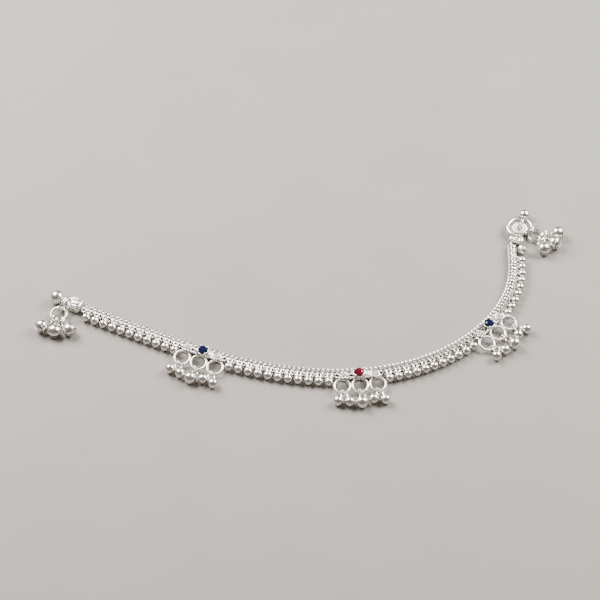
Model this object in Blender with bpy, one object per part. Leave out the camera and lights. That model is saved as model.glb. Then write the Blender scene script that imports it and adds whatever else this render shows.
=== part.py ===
"""Silver payal anklet, lying open on a flat surface.

A woven band carries a row of round beads on its outer edge and three soldered motifs, each
with three rings, two rosettes, a set stone and five ball drops. The left end has a shell cap
with the catch loop, and the right end a rosette clasp with a C hook. Each end carries a jump
ring with three bells. Lengths are in metres, +Z is up, and the surface is at z = 0.
"""

import math

import bmesh
import bpy
import numpy as np
from mathutils import Matrix, Vector

# Ridge line of the band on the surface, chosen by eye from left to right (x, y).
ROUTE = (
    (-0.0978, -0.0008),
    (-0.0798, -0.0094),
    (-0.0617, -0.0179),
    (-0.0433, -0.0257),
    (-0.0244, -0.0322),
    (-0.0050, -0.0366),
    (0.0149, -0.0382),
    (0.0347, -0.0363),
    (0.0537, -0.0302),
    (0.0707, -0.0198),
    (0.0842, -0.0052),
    (0.0925, 0.0129),
    (0.0940, 0.0327),
)

# Woven band
BEAD_PITCH = 0.00408
CHAIN_START = 0.0000
BAND_HALF_WIDTH = 0.0026
BAND_NOTCH_DEPTH = 0.0006
RIDGE_WIDTH = 0.0016
RIDGE_TOP = 0.0038
RIDGE_NOTCH_DEPTH = 0.0004
BAND_LIFT = 0.0003

# Round beads along the outer edge
BEAD_DIAMETER = 0.0039
BEAD_BITE = 0.0005
COIL_BEAD_DIAMETER = 0.0046

# Stretches of the chain: what hangs there, how many pitches, and the pitch as a share of
# BEAD_PITCH, because the weave lies stretched on the left and pushed together on the right.
STRETCHES = (
    {"holds": "lead", "pitches": 1, "share": 0.97},
    {"holds": "beads", "pitches": 10, "share": 1.06},
    {"holds": "motif", "pitches": 6, "share": 1.037},
    {"holds": "beads", "pitches": 10, "share": 1.06},
    {"holds": "motif", "pitches": 6, "share": 1.037},
    {"holds": "beads", "pitches": 10, "share": 0.965},
    {"holds": "motif", "pitches": 6, "share": 0.96},
    {"holds": "beads", "pitches": 8, "share": 0.915},
    {"holds": "coil bead", "pitches": 2, "share": 0.75},
    {"holds": "tail", "pitches": 1, "share": 0.72},
)

# Gap that separate pieces keep
CLEARANCE = 0.0003

# Points nearer to each other than this are one point after a Boolean
SPECK = 0.000003

# Motif frame: three rings side by side, outward of the band
RING_OUTER = 0.0079
RING_WIRE = 0.00115
RING_LAP = 0.0002
RING_TILT = math.radians(12)
RING_GAP = 0.0002
RING_CENTRE_HEIGHT = 0.0024
STRIP_WIDTH = 0.0010
STRIP_HEIGHT = 0.0011
STRIP_BOTTOM = 0.0034
ROSETTE_DIAMETER = 0.0044
ROSETTE_THICKNESS = 0.0006
ROSETTE_INSET = 0.0002
ROSETTE_DOME = 0.0005
ROSETTE_PROFILE = (
    {"radius": 0.0, "rise": 0.0, "dome": 0},
    {"radius": 0.9, "rise": 0.0, "dome": 0},
    {"radius": 1.0, "rise": 0.5, "dome": 0},
    {"radius": 0.85, "rise": 1.0, "dome": 0},
    {"radius": 0.35, "rise": 1.0, "dome": 1},
    {"radius": 0.0, "rise": 1.0, "dome": 1},
)
ROSETTE_ASIDE = 0.0068

# Prong setting and stone
STONE_DIAMETER = 0.0042
STONE_TABLE = 0.0023
STONE_CROWN = 0.0008
STONE_GIRDLE = 0.00025
STONE_PAVILION = 0.0009
STONE_CULET = 0.0006
STONE_INSET = 0.0009
STONE_FACETS = 10
SEAT_CLEARANCE = 0.0001
CUP_BASE_DIAMETER = 0.0030
CUP_BASE_THICKNESS = 0.0003
CUP_RIM = 0.0003
CUP_LIP = 0.0002
PRONG_DIAMETER = 0.0009
PRONG_RISE = 0.0006
PRONG_FOOT = 0.0003

# Small jump rings and ball drops under the motifs
SMALL_RING_OUTER = 0.0039
SMALL_RING_WIRE = 0.0007
SMALL_RING_TURN = math.radians(20)
SMALL_RING_OFFSET = 0.0003
DROP_DIAMETER = 0.0045
MIDDLE_DROP_DIAMETER = 0.0054
DROP_SPREAD = 0.0025
EYE_OUTER = 0.0030
EYE_WIRE = 0.0006
EYE_LAP = 0.0003
EYE_STAGGER = 0.00046

# Left end: shell cap, catch loop and its ball
CAP_LENGTH = 0.0062
CAP_INNER_WIDTH = 0.0062
CAP_OUTER_WIDTH = 0.0070
CAP_HEIGHT = 0.0047
CAP_INNER_HEIGHT = 0.0041
CAP_CHAMFER = 0.0013
CAP_RIBS = 4
CAP_RIB_WIDTH = 0.0009
CAP_RIB_SINK = 0.0002
CATCH_OUTER = 0.0090
CATCH_WIRE = 0.0015
CATCH_ASIDE = 0.0030
CATCH_STANDOFF = 0.0010
CATCH_LEAN = math.radians(18)
CATCH_BALL_DIAMETER = 0.0064
CATCH_BALL_POST = 0.0006
CATCH_BALL_TURN = math.radians(44)
COLLAR_DIAMETER = 0.0024
COLLAR_HEIGHT = 0.0027
SOLDER_LAP = 0.0004

# Jump rings, links and bells at the ends
JUMP_OUTER = 0.0080
JUMP_WIRE = 0.0011
JUMP_HOLD = 0.0018
LEFT_JUMP_TILT = math.radians(17)
LINK_OUTER = 0.0043
LINK_WIRE = 0.0007
BELL_DIAMETER = 0.0060
BELL_EYE_OUTER = 0.0031
BELL_SLOT_WIDTH = 0.0005
BELL_SLOT_DEPTH = 0.0009
BELL_SPREAD = math.radians(37)
LEFT_BELL_HEADING = math.radians(-72)
RIGHT_BELL_HEADING = math.radians(-109)

# Right end: crown connector, rosette, C hook and its ball
CLASP_TURN = math.radians(-17)
CLASP_OUTWARD = 0.0012
CROWN_LENGTH = 0.0060
CROWN_LOBE_WIDTH = 0.0070
CROWN_HEIGHT = 0.0036
CROWN_STAGES = (
    {"along": 0.0, "width": 0.63, "height": 0.85, "turned": 1},
    {"along": 0.35, "width": 0.73, "height": 0.95, "turned": 0},
    {"along": 0.52, "width": 1.0, "height": 1.0, "turned": 0},
    {"along": 0.75, "width": 0.85, "height": 1.0, "turned": 0},
    {"along": 1.0, "width": 0.6, "height": 1.0, "turned": 0},
)
DISC_DIAMETER = 0.0070
DISC_BOTTOM = 0.0026
DISC_THICKNESS = 0.0014
DISC_DOME = 0.0006
HOOK_OUTER = 0.0130
HOOK_WIRE = 0.0020
HOOK_HEIGHT = 0.0031
HOOK_TIP_ANGLE = math.radians(-94)
HOOK_ROOT_ANGLE = math.radians(172)
HOOK_BEYOND_DISC = 0.0011
HOOK_BALL_DIAMETER = 0.0050
POST_DIAMETER = 0.0016
EYELET_OUTER = 0.0026
EYELET_WIRE = 0.0006
EYELET_HEIGHT = 0.00135
LUG_DIAMETER = 0.0016

# Facets of the round shapes
BEAD_SIDES = 10
BEAD_BANDS = 5
WIRE_SIDES = 5
SMALL_RING_SIDES = 10
RING_SIDES = 12
BELL_BANDS = 6
ROD_SIDES = 6
HOOK_STEPS = 14


class Route:
    """The smooth line of the band's ridge on the surface."""

    def __init__(self, points, samples=2400):
        corners = np.array(points)
        chord = np.hypot(*np.diff(corners, axis=0).T)
        knots = np.concatenate(([0.0], np.cumsum(chord)))
        t = np.linspace(0.0, knots[-1], samples)
        self.xy = np.column_stack([natural_spline(knots, corners[:, i], t) for i in (0, 1)])
        steps = np.hypot(*np.diff(self.xy, axis=0).T)
        self.length_at = np.concatenate(([0.0], np.cumsum(steps)))
        self.heading = np.unwrap(np.arctan2(*np.gradient(self.xy, axis=0).T[::-1]))

    def frame(self, along):
        """Matrix at a length along the line: X follows it, Y points inward, Z is up."""
        x, y = (np.interp(along, self.length_at, self.xy[:, i]) for i in (0, 1))
        heading = np.interp(along, self.length_at, self.heading)
        beyond = along - min(max(along, 0.0), self.length_at[-1])
        x, y = x + beyond * math.cos(heading), y + beyond * math.sin(heading)
        return Matrix.Translation((x, y, 0)) @ Matrix.Rotation(heading, 4, "Z")


def natural_spline(knots, values, at):
    """A natural cubic spline through the values, read at the given places."""
    gaps = np.diff(knots)
    slopes = np.diff(values) / gaps
    size = len(knots)
    rows = np.eye(size)
    right = np.zeros(size)
    for i in range(1, size - 1):
        rows[i, i - 1 : i + 2] = gaps[i - 1], 2 * (gaps[i - 1] + gaps[i]), gaps[i]
        right[i] = 6 * (slopes[i] - slopes[i - 1])
    bend = np.linalg.solve(rows, right)
    i = np.clip(np.searchsorted(knots, at, side="right") - 1, 0, size - 2)
    h, left, rest = gaps[i], at - knots[i], knots[i + 1] - at
    return (
        (bend[i] * rest**3 + bend[i + 1] * left**3) / (6 * h)
        + (values[i] / h - bend[i] * h / 6) * rest
        + (values[i + 1] / h - bend[i + 1] * h / 6) * left
    )


def stations():
    """Lengths along the route: band sections, beads, coil bead and motif centres."""
    along = CHAIN_START
    sections, beads, motifs, coil = [along], [], [], None
    for stretch in STRETCHES:
        pitch = BEAD_PITCH * stretch["share"]
        if stretch["holds"] == "beads":
            beads += [along + pitch * i for i in range(stretch["pitches"] + 1)]
        if stretch["holds"] == "motif":
            motifs.append(along + pitch * stretch["pitches"] / 2)
        for _ in range(stretch["pitches"]):
            sections += [along + pitch / 2, along + pitch]
            along += pitch
        if stretch["holds"] == "coil bead":
            coil = along
    return {"sections": sections, "beads": beads, "motifs": motifs, "coil": coil, "end": along}


def moved(bm, matrix):
    """The same shape after a move, so that it can be made where it is easy to describe."""
    bmesh.ops.transform(bm, matrix=matrix, verts=bm.verts)
    return bm


def ball(diameter, sides=BEAD_SIDES, bands=BEAD_BANDS):
    bm = bmesh.new()
    bmesh.ops.create_uvsphere(bm, u_segments=sides, v_segments=bands, radius=diameter / 2)
    return bm


def ring(outer, wire, sides=RING_SIDES, wire_sides=WIRE_SIDES):
    """A round wire ring in the XY plane about the origin."""
    bm = bmesh.new()
    start = Matrix.Translation(((outer - wire) / 2, 0, 0)) @ Matrix.Rotation(math.pi / 2, 4, "X")
    bmesh.ops.create_circle(bm, segments=wire_sides, radius=wire / 2, matrix=start)
    bmesh.ops.spin(
        bm, geom=bm.verts[:] + bm.edges[:], axis=(0, 0, 1), cent=(0, 0, 0),
        steps=sides, angle=2 * math.pi, use_merge=True,
    )
    return bm


def lofted(loops):
    """A closed solid through point loops of equal count, with flat ends."""
    bm = bmesh.new()
    rows = [[bm.verts.new(point) for point in loop] for loop in loops]
    rims = [[bm.edges.new(pair) for pair in zip(row, row[1:] + row[:1])] for row in rows]
    for first, second in zip(rims, rims[1:]):
        bmesh.ops.bridge_loops(bm, edges=first + second)
    for row in (rows[0], rows[-1]):
        bm.faces.new(row)
    return bm


def turned(profile, sides):
    """A solid turned about Z from (radius, height) points that start and end on the axis."""
    bm = bmesh.new()
    points = [bm.verts.new((radius, 0, height)) for radius, height in profile]
    edges = [bm.edges.new(pair) for pair in zip(points, points[1:])]
    bmesh.ops.spin(
        bm, geom=points + edges, axis=(0, 0, 1), cent=(0, 0, 0),
        steps=sides, angle=2 * math.pi, use_merge=True,
    )
    bmesh.ops.remove_doubles(bm, verts=bm.verts, dist=1e-6)
    return bm


def rod(diameter, start, end, sides=ROD_SIDES):
    """A straight round rod between two points."""
    axis = Vector(end) - Vector(start)
    bm = bmesh.new()
    bmesh.ops.create_cone(
        bm, cap_ends=True, segments=sides,
        radius1=diameter / 2, radius2=diameter / 2, depth=axis.length,
    )
    turn = axis.to_track_quat("Z", "Y").to_matrix().to_4x4()
    return moved(bm, Matrix.Translation((Vector(start) + Vector(end)) / 2) @ turn)


def box(size, centre):
    bm = bmesh.new()
    bmesh.ops.create_cube(bm, size=1)
    return moved(bm, Matrix.Translation(centre) @ Matrix.Diagonal((*size, 1)))


def helper(bm, name):
    """A temporary object that holds the shape for a Boolean."""
    bmesh.ops.recalc_face_normals(bm, faces=bm.faces)
    mesh = bpy.data.meshes.new(name)
    bm.to_mesh(mesh)
    bm.free()
    shape = bpy.data.objects.new(name, mesh)
    shape.hide_render = True
    shape.display_type = "WIRE"
    bpy.context.scene.collection.objects.link(shape)
    return shape


def fused(name, shapes, cuts=()):
    """One closed mesh: the shapes joined, less the cuts."""
    helpers = [helper(bm, f"{name}_helper_{i}") for i, bm in enumerate([*shapes, *cuts])]
    body = helpers[0]
    for i, other in enumerate(helpers[1:], start=1):
        modifier = body.modifiers.new(f"join_{i}", "BOOLEAN")
        modifier.operation = "UNION" if i < len(shapes) else "DIFFERENCE"
        modifier.solver = "EXACT"
        modifier.object = other
    graph = bpy.context.evaluated_depsgraph_get()
    mesh = bpy.data.meshes.new_from_object(body.evaluated_get(graph))
    for shape in helpers:
        bpy.data.objects.remove(shape)
    bm = bmesh.new()
    bm.from_mesh(mesh)
    bmesh.ops.remove_doubles(bm, verts=bm.verts, dist=SPECK)
    bmesh.ops.dissolve_degenerate(bm, edges=bm.edges, dist=SPECK)
    bm.to_mesh(mesh)
    bm.free()
    mesh.name = name
    return mesh


def mesh_of(bm, name):
    bmesh.ops.recalc_face_normals(bm, faces=bm.faces)
    mesh = bpy.data.meshes.new(name)
    bm.to_mesh(mesh)
    bm.free()
    return mesh


def metal(name, colour, roughness):
    material = bpy.data.materials.new(name)
    material.use_nodes = True
    shader = material.node_tree.nodes["Principled BSDF"]
    shader.inputs["Base Color"].default_value = (*colour, 1)
    shader.inputs["Metallic"].default_value = 1.0
    shader.inputs["Roughness"].default_value = roughness
    return material


def glass_stone(name, colour):
    material = bpy.data.materials.new(name)
    material.use_nodes = True
    shader = material.node_tree.nodes["Principled BSDF"]
    shader.inputs["Base Color"].default_value = (*colour, 1)
    shader.inputs["Roughness"].default_value = 0.04
    shader.inputs["IOR"].default_value = 1.77
    return material


def piece(name, mesh, material, place, smooth=True):
    """The named object of a sub-part, at its place."""
    mesh.materials.clear()
    mesh.materials.append(material)
    if smooth:
        mesh.shade_smooth()
        mesh.set_sharp_from_angle(angle=math.radians(50))
    made = bpy.data.objects.new(name, mesh)
    bpy.context.scene.collection.objects.link(made)
    made.matrix_world = place
    return made


def band_section(place, notch):
    """The band's six corners at a station: flat below, sloped to a ridge on top."""
    half = BAND_HALF_WIDTH - notch * BAND_NOTCH_DEPTH
    top = RIDGE_TOP - notch * RIDGE_NOTCH_DEPTH
    edge = (BAND_LIFT + RIDGE_TOP) / 2
    ridge = RIDGE_WIDTH / 2
    outline = (
        (half, edge), (ridge, BAND_LIFT), (-ridge, BAND_LIFT),
        (-half, edge), (-ridge, top), (ridge, top),
    )
    return [place @ Vector((0, inward, height)) for inward, height in outline]


def bead_outward(diameter):
    """Distance of a bead's centre from the ridge line: it bites into the band's edge."""
    return BAND_HALF_WIDTH + diameter / 2 - BEAD_BITE


def all_beads(route, places, diameter):
    """Separate beads at the stations, in one shape."""
    bm = bmesh.new()
    for along in places:
        spot = route.frame(along) @ Matrix.Translation((0, -bead_outward(diameter), diameter / 2))
        bmesh.ops.create_uvsphere(
            bm, u_segments=BEAD_SIDES, v_segments=BEAD_BANDS, radius=diameter / 2, matrix=spot
        )
    return bm


def make_chain(route, at, silver):
    sections = [band_section(route.frame(s), i % 2 == 1) for i, s in enumerate(at["sections"])]
    shapes = [
        lofted(sections),
        all_beads(route, at["beads"], BEAD_DIAMETER),
        all_beads(route, [at["coil"]], COIL_BEAD_DIAMETER),
    ]
    piece("chain", fused("chain", shapes), silver, Matrix())


def ring_spacing():
    return RING_OUTER - RING_LAP


def ring_outward():
    """Ring centre: the wire's inner side clears the band's edge."""
    reach = (RING_OUTER - RING_WIRE) / 2 * math.cos(RING_TILT)
    return BAND_HALF_WIDTH + RING_GAP + RING_WIRE / 2 + reach


def wire_outer_side():
    """(outward, height) of the ring wire where the drops hang."""
    reach = (RING_OUTER - RING_WIRE) / 2
    return (
        ring_outward() + reach * math.cos(RING_TILT),
        RING_CENTRE_HEIGHT - reach * math.sin(RING_TILT),
    )


def rosette_bottom():
    return RIDGE_TOP + CLEARANCE


def stone_outward():
    """The stone's middle lies a little inward of the band's outer edge."""
    return BAND_HALF_WIDTH - STONE_INSET


def stone_bottom():
    """Height of the culet: the cup's floor and the seat's clearance under it."""
    return rosette_bottom() + CUP_BASE_THICKNESS + SEAT_CLEARANCE


def stone_profile(spare=0.0):
    """(radius, height) of the stone from culet to table, grown by a clearance."""
    girdle = STONE_PAVILION
    crown = girdle + STONE_GIRDLE
    return (
        (0, -spare),
        (STONE_CULET / 2 + spare, -spare),
        (STONE_DIAMETER / 2 + spare, girdle - spare),
        (STONE_DIAMETER / 2 + spare, crown + spare),
        (STONE_TABLE / 2 + spare, crown + STONE_CROWN + spare),
        (0, crown + STONE_CROWN + spare),
    )


def motif_mesh():
    """Rings, strip, rosettes and setting, soldered in one."""
    tilt = Matrix.Rotation(-RING_TILT, 4, "X")
    shapes = []
    strip_outward = BAND_HALF_WIDTH + CLEARANCE + STRIP_WIDTH / 2
    strip_length = 2 * (ROSETTE_ASIDE + ROSETTE_DIAMETER / 4)
    strip_centre = (0, -strip_outward, STRIP_BOTTOM + STRIP_HEIGHT / 2)
    shapes.append(box((strip_length, STRIP_WIDTH, STRIP_HEIGHT), strip_centre))
    for side in (-1, 0, 1):
        spot = Matrix.Translation((side * ring_spacing(), -ring_outward(), RING_CENTRE_HEIGHT))
        shapes.append(moved(ring(RING_OUTER, RING_WIRE), spot @ tilt.inverted()))
    for side in (-1, 1):
        spot = Matrix.Translation((side * ROSETTE_ASIDE, ROSETTE_INSET - BAND_HALF_WIDTH, rosette_bottom()))
        shapes.append(moved(rosette(ROSETTE_DIAMETER, ROSETTE_THICKNESS, ROSETTE_DOME), spot))
    seat = Matrix.Translation((0, -stone_outward(), stone_bottom()))
    shapes.append(moved(cup(), Matrix.Translation((0, -stone_outward(), rosette_bottom()))))
    shapes += [moved(prong(quarter), seat) for quarter in range(4)]
    cutter = moved(turned(stone_profile(SEAT_CLEARANCE), STONE_FACETS), seat)
    return fused("motif", shapes, [cutter])


def rosette(diameter, thickness, dome):
    """A low disc with a domed centre."""
    profile = [
        (row["radius"] * diameter / 2, row["rise"] * thickness + row["dome"] * dome)
        for row in ROSETTE_PROFILE
    ]
    return turned(profile, SMALL_RING_SIDES)


def cup():
    """The setting's cone, solid until the stone's seat is cut in it."""
    rim = STONE_DIAMETER / 2 + SEAT_CLEARANCE + CUP_RIM
    top = CUP_BASE_THICKNESS + SEAT_CLEARANCE + STONE_PAVILION
    profile = ((0, 0), (CUP_BASE_DIAMETER / 2, 0), (rim, top - CUP_LIP), (rim, top), (0, top))
    return turned(profile, STONE_FACETS)


def prong(quarter):
    """A claw at the stone's girdle, top, left, right or bottom."""
    turn = Matrix.Rotation(quarter * math.pi / 2, 4, "Z")
    reach = STONE_DIAMETER / 2 + PRONG_DIAMETER / 4
    foot = turn @ Vector((reach, 0, PRONG_FOOT))
    tip = turn @ Vector((reach, 0, STONE_PAVILION + STONE_GIRDLE + PRONG_RISE))
    return rod(PRONG_DIAMETER, foot, tip)


def small_ring_place(side):
    """A small jump ring upright around the wire of one of the three rings."""
    outward, _ = wire_outer_side()
    spot = Vector((side * ring_spacing(), -outward - SMALL_RING_OFFSET, SMALL_RING_OUTER / 2))
    upright = Matrix.Rotation(math.pi / 2, 4, "Y")
    return Matrix.Translation(spot) @ Matrix.Rotation(SMALL_RING_TURN, 4, "Z") @ upright


def small_ring_point(side, height):
    """The centre of the small ring's wire on its outer side, this far above its middle."""
    reach = (SMALL_RING_OUTER - SMALL_RING_WIRE) / 2
    across = math.sqrt(reach**2 - height**2)
    away = Matrix.Rotation(SMALL_RING_TURN, 4, "Z") @ Vector((0, -across, height))
    return small_ring_place(side).translation + away


def eyed_ball(name, diameter, eye_outer, eye_lift, bands=BEAD_BANDS, cuts=()):
    """A ball with a flat wire eye soldered in its +Y side, this far above its centre."""
    reach = eye_reach(diameter, eye_outer, eye_lift)
    eye = ring(eye_outer, EYE_WIRE, SMALL_RING_SIDES)
    moved(eye, Matrix.Translation((0, reach, eye_lift)))
    return fused(name, [ball(diameter, bands=bands), eye], cuts)


def eye_reach(diameter, eye_outer, eye_lift):
    """From the ball's centre to the eye's: the eye's near side is soldered in the ball's skin."""
    skin = math.sqrt((diameter / 2) ** 2 - eye_lift**2)
    return skin + eye_outer / 2 - EYE_LAP


def eye_hold(diameter, eye_outer, eye_lift, held_wire):
    """From the ball's centre to the wire that the far end of its eye holds."""
    free = eye_outer / 2 - EYE_WIRE - held_wire / 2 - CLEARANCE / 2
    return eye_reach(diameter, eye_outer, eye_lift) + free


def drop_place(side, aside, diameter, eye_lift):
    """Where a drop lies so that its eye holds the small ring's wire."""
    hold = eye_hold(diameter, EYE_OUTER, eye_lift, SMALL_RING_WIRE)
    wire = small_ring_point(side, diameter / 2 + eye_lift - SMALL_RING_OUTER / 2)
    spread = aside - (wire.x - side * ring_spacing())
    outward = math.sqrt(hold**2 - spread**2)
    centre = Vector((wire.x + spread, wire.y - outward, diameter / 2))
    turn = Matrix.Rotation(math.atan2(spread, outward), 4, "Z")
    return Matrix.Translation(centre) @ turn


def make_motif(number, place, silver, stone_material):
    frame = f"motif_{number}"
    piece(frame, motif_mesh(), silver, place)
    seat = place @ Matrix.Translation((0, -stone_outward(), stone_bottom()))
    gem = mesh_of(turned(stone_profile(), STONE_FACETS), "stone")
    piece(f"stone_{number}", gem, stone_material, seat, smooth=False)
    for i, side in enumerate((-1, 0, 1), start=1):
        small = mesh_of(ring(SMALL_RING_OUTER, SMALL_RING_WIRE, SMALL_RING_SIDES), "small_ring")
        piece(f"{frame}_ring_{i}", small, silver, place @ small_ring_place(side))
    drops = (
        (-1, -DROP_SPREAD, DROP_DIAMETER, 1),
        (-1, DROP_SPREAD, DROP_DIAMETER, -1),
        (0, 0.0, MIDDLE_DROP_DIAMETER, 0),
        (1, -DROP_SPREAD, DROP_DIAMETER, 1),
        (1, DROP_SPREAD, DROP_DIAMETER, -1),
    )
    for i, (side, aside, diameter, level) in enumerate(drops, start=1):
        lift = (SMALL_RING_OUTER - diameter) / 2 + level * EYE_STAGGER
        name = f"{frame}_drop_{i}"
        spot = place @ drop_place(side, aside, diameter, lift)
        piece(name, eyed_ball(name, diameter, EYE_OUTER, lift), silver, spot)


def eight_sided(place, width, height, chamfer):
    """A flat-bottomed loop across X: chamfered corners above, the underside at z = 0."""
    half, foot = width / 2, width / 2 - chamfer / 2
    outline = (
        (foot, 0), (-foot, 0), (-half, chamfer / 2), (-half, height - chamfer),
        (-half + chamfer, height), (half - chamfer, height),
        (half, height - chamfer), (half, chamfer / 2),
    )
    return [place @ Vector((0, across, up)) for across, up in outline]


def catch_frame():
    """Place of the catch loop: X is its normal, leaning, Z its upright direction."""
    reach = (CATCH_OUTER - CATCH_WIRE) / 2
    height = reach * math.cos(CATCH_LEAN) + CATCH_WIRE / 2
    along = -(CLEARANCE + CAP_LENGTH + CATCH_STANDOFF)
    return Matrix.Translation((along, -CATCH_ASIDE, height)) @ Matrix.Rotation(CATCH_LEAN, 4, "Y")


def make_end_cap(start, silver):
    """The shell cap over the band's left end, with ribs, catch loop and ball."""
    inner, outer = -CLEARANCE, -CLEARANCE - CAP_LENGTH
    middle = (inner + outer) / 2
    stages = (
        (inner, CAP_INNER_WIDTH, CAP_INNER_HEIGHT),
        (middle, (CAP_INNER_WIDTH + CAP_OUTER_WIDTH) / 2, CAP_HEIGHT),
        (outer + CAP_CHAMFER, CAP_OUTER_WIDTH, CAP_HEIGHT),
        (outer, CAP_OUTER_WIDTH - CAP_CHAMFER, CAP_HEIGHT - CAP_CHAMFER),
    )
    loops = [eight_sided(Matrix.Translation((x, 0, 0)), w, h, CAP_CHAMFER) for x, w, h in stages]
    shapes = [lofted(loops)]
    flat = CAP_INNER_WIDTH - 2 * CAP_CHAMFER
    for i in range(CAP_RIBS):
        across = flat * (i / (CAP_RIBS - 1) - 0.5)
        ends = [(x, across * w / CAP_INNER_WIDTH, h - CAP_RIB_SINK) for x, w, h in stages[:3:2]]
        shapes.append(rod(CAP_RIB_WIDTH, *ends))
    catch = catch_frame()
    reach = (CATCH_OUTER - CATCH_WIRE) / 2
    upright = Matrix.Rotation(math.pi / 2, 4, "Y")
    shapes.append(moved(ring(CATCH_OUTER, CATCH_WIRE), catch @ upright))
    near_wire = catch @ Vector((0, reach, 0))
    collar_foot = (outer + CAP_CHAMFER, near_wire.y, COLLAR_HEIGHT)
    shapes.append(rod(COLLAR_DIAMETER, collar_foot, near_wire))
    hang = Vector((0, math.cos(CATCH_BALL_TURN) * reach, -math.sin(CATCH_BALL_TURN) * reach))
    hold = (CATCH_BALL_DIAMETER + CATCH_WIRE) / 2 + CATCH_BALL_POST
    centre = catch @ (hang - Vector((hold, 0, 0)))
    centre.z = CATCH_BALL_DIAMETER / 2
    shapes.append(moved(ball(CATCH_BALL_DIAMETER), Matrix.Translation(centre)))
    shapes.append(rod(COLLAR_DIAMETER, centre, catch @ hang))
    piece("end_cap", fused("end_cap", shapes), silver, start)


def left_jump_frame():
    """The left jump ring: its far side runs through the catch loop, its near side on the links."""
    reach = (JUMP_OUTER - JUMP_WIRE) / 2
    low = LINK_WIRE + CLEARANCE / 2 + JUMP_WIRE / 2
    catch = catch_frame().translation
    held_outward = CATCH_ASIDE + JUMP_HOLD
    across = held_outward + reach * math.cos(LEFT_JUMP_TILT)
    centre = Vector((catch.x, -across, low + reach * math.sin(LEFT_JUMP_TILT)))
    return Matrix.Translation(centre) @ Matrix.Rotation(LEFT_JUMP_TILT, 4, "X")


def right_jump_frame():
    """The right jump ring lies flat through the eyelet, under the hook's tip."""
    reach = (JUMP_OUTER - JUMP_WIRE) / 2
    eyelet = eyelet_place()
    return Matrix.Translation((eyelet.x, eyelet.y - reach, eyelet.z))


def make_end_bells(side, end_frame, jump, heading, silver):
    """A jump ring with three links, and a bell on each link."""
    ring_mesh = mesh_of(ring(JUMP_OUTER, JUMP_WIRE), "jump_ring")
    piece(f"{side}_jump_ring", ring_mesh, silver, end_frame @ jump)
    reach = (JUMP_OUTER - JUMP_WIRE) / 2
    link_reach = (LINK_OUTER - LINK_WIRE) / 2
    free = LINK_OUTER / 2 - LINK_WIRE - JUMP_WIRE / 2 - CLEARANCE / 2
    for i, step in enumerate((-1, 0, 1), start=1):
        angle = heading + step * BELL_SPREAD
        wire = jump @ Vector((reach * math.cos(angle), reach * math.sin(angle), 0))
        away = Vector((math.cos(angle), math.sin(angle), 0))
        rise = LINK_OUTER / 2 - wire.z
        shift = math.sqrt(max(free**2 - rise**2, 0))
        centre = Vector((wire.x, wire.y, LINK_OUTER / 2)) + away * shift
        turn = Matrix.Rotation(angle + math.pi / 2, 4, "Z")
        upright = Matrix.Rotation(math.pi / 2, 4, "Y")
        link = mesh_of(ring(LINK_OUTER, LINK_WIRE, SMALL_RING_SIDES), "link")
        piece(f"{side}_link_{i}", link, silver, end_frame @ Matrix.Translation(centre) @ turn @ upright)
        hold = link_reach + eye_hold(BELL_DIAMETER, BELL_EYE_OUTER, bell_eye_lift(), LINK_WIRE)
        spot = Vector((centre.x, centre.y, BELL_DIAMETER / 2)) + away * hold
        name = f"{side}_bell_{i}"
        piece(name, bell_mesh(name), silver, end_frame @ Matrix.Translation(spot) @ turn)


def bell_eye_lift():
    """The eye is level with the middle of the upright link."""
    return (LINK_OUTER - BELL_DIAMETER) / 2


def bell_mesh(name):
    """A round bell with its eye toward +Y and a slot across the far side."""
    slot = box((BELL_DIAMETER, BELL_SLOT_DEPTH * 2, BELL_SLOT_WIDTH), (0, -BELL_DIAMETER / 2, 0))
    lift = bell_eye_lift()
    return eyed_ball(name, BELL_DIAMETER, BELL_EYE_OUTER, lift, bands=BELL_BANDS, cuts=[slot])


def hook_centre():
    """Centre of the C hook: it runs around the rosette, and its near side ends in the crown."""
    return Vector((disc_centre_along() + HOOK_BEYOND_DISC, 0, HOOK_HEIGHT))


def disc_centre_along():
    return CROWN_LENGTH - SOLDER_LAP * 2 + DISC_DIAMETER / 2


def eyelet_place():
    """The eyelet hangs from the rosette's outer side."""
    outward = (DISC_DIAMETER + EYELET_OUTER) / 2 - SOLDER_LAP
    return Vector((disc_centre_along(), -outward, EYELET_HEIGHT))


def bent_wire(radius, wire, first, last, steps, sides):
    """A round wire bent along an arc about the origin, in the XY plane."""
    loops = []
    for step in range(steps + 1):
        turn = Matrix.Rotation(first + (last - first) * step / steps, 4, "Z")
        loops.append([
            turn @ Vector((radius + wire / 2 * math.cos(a), 0, wire / 2 * math.sin(a)))
            for a in (2 * math.pi * (i + 0.5) / sides for i in range(sides))
        ])
    return lofted(loops)


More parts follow.
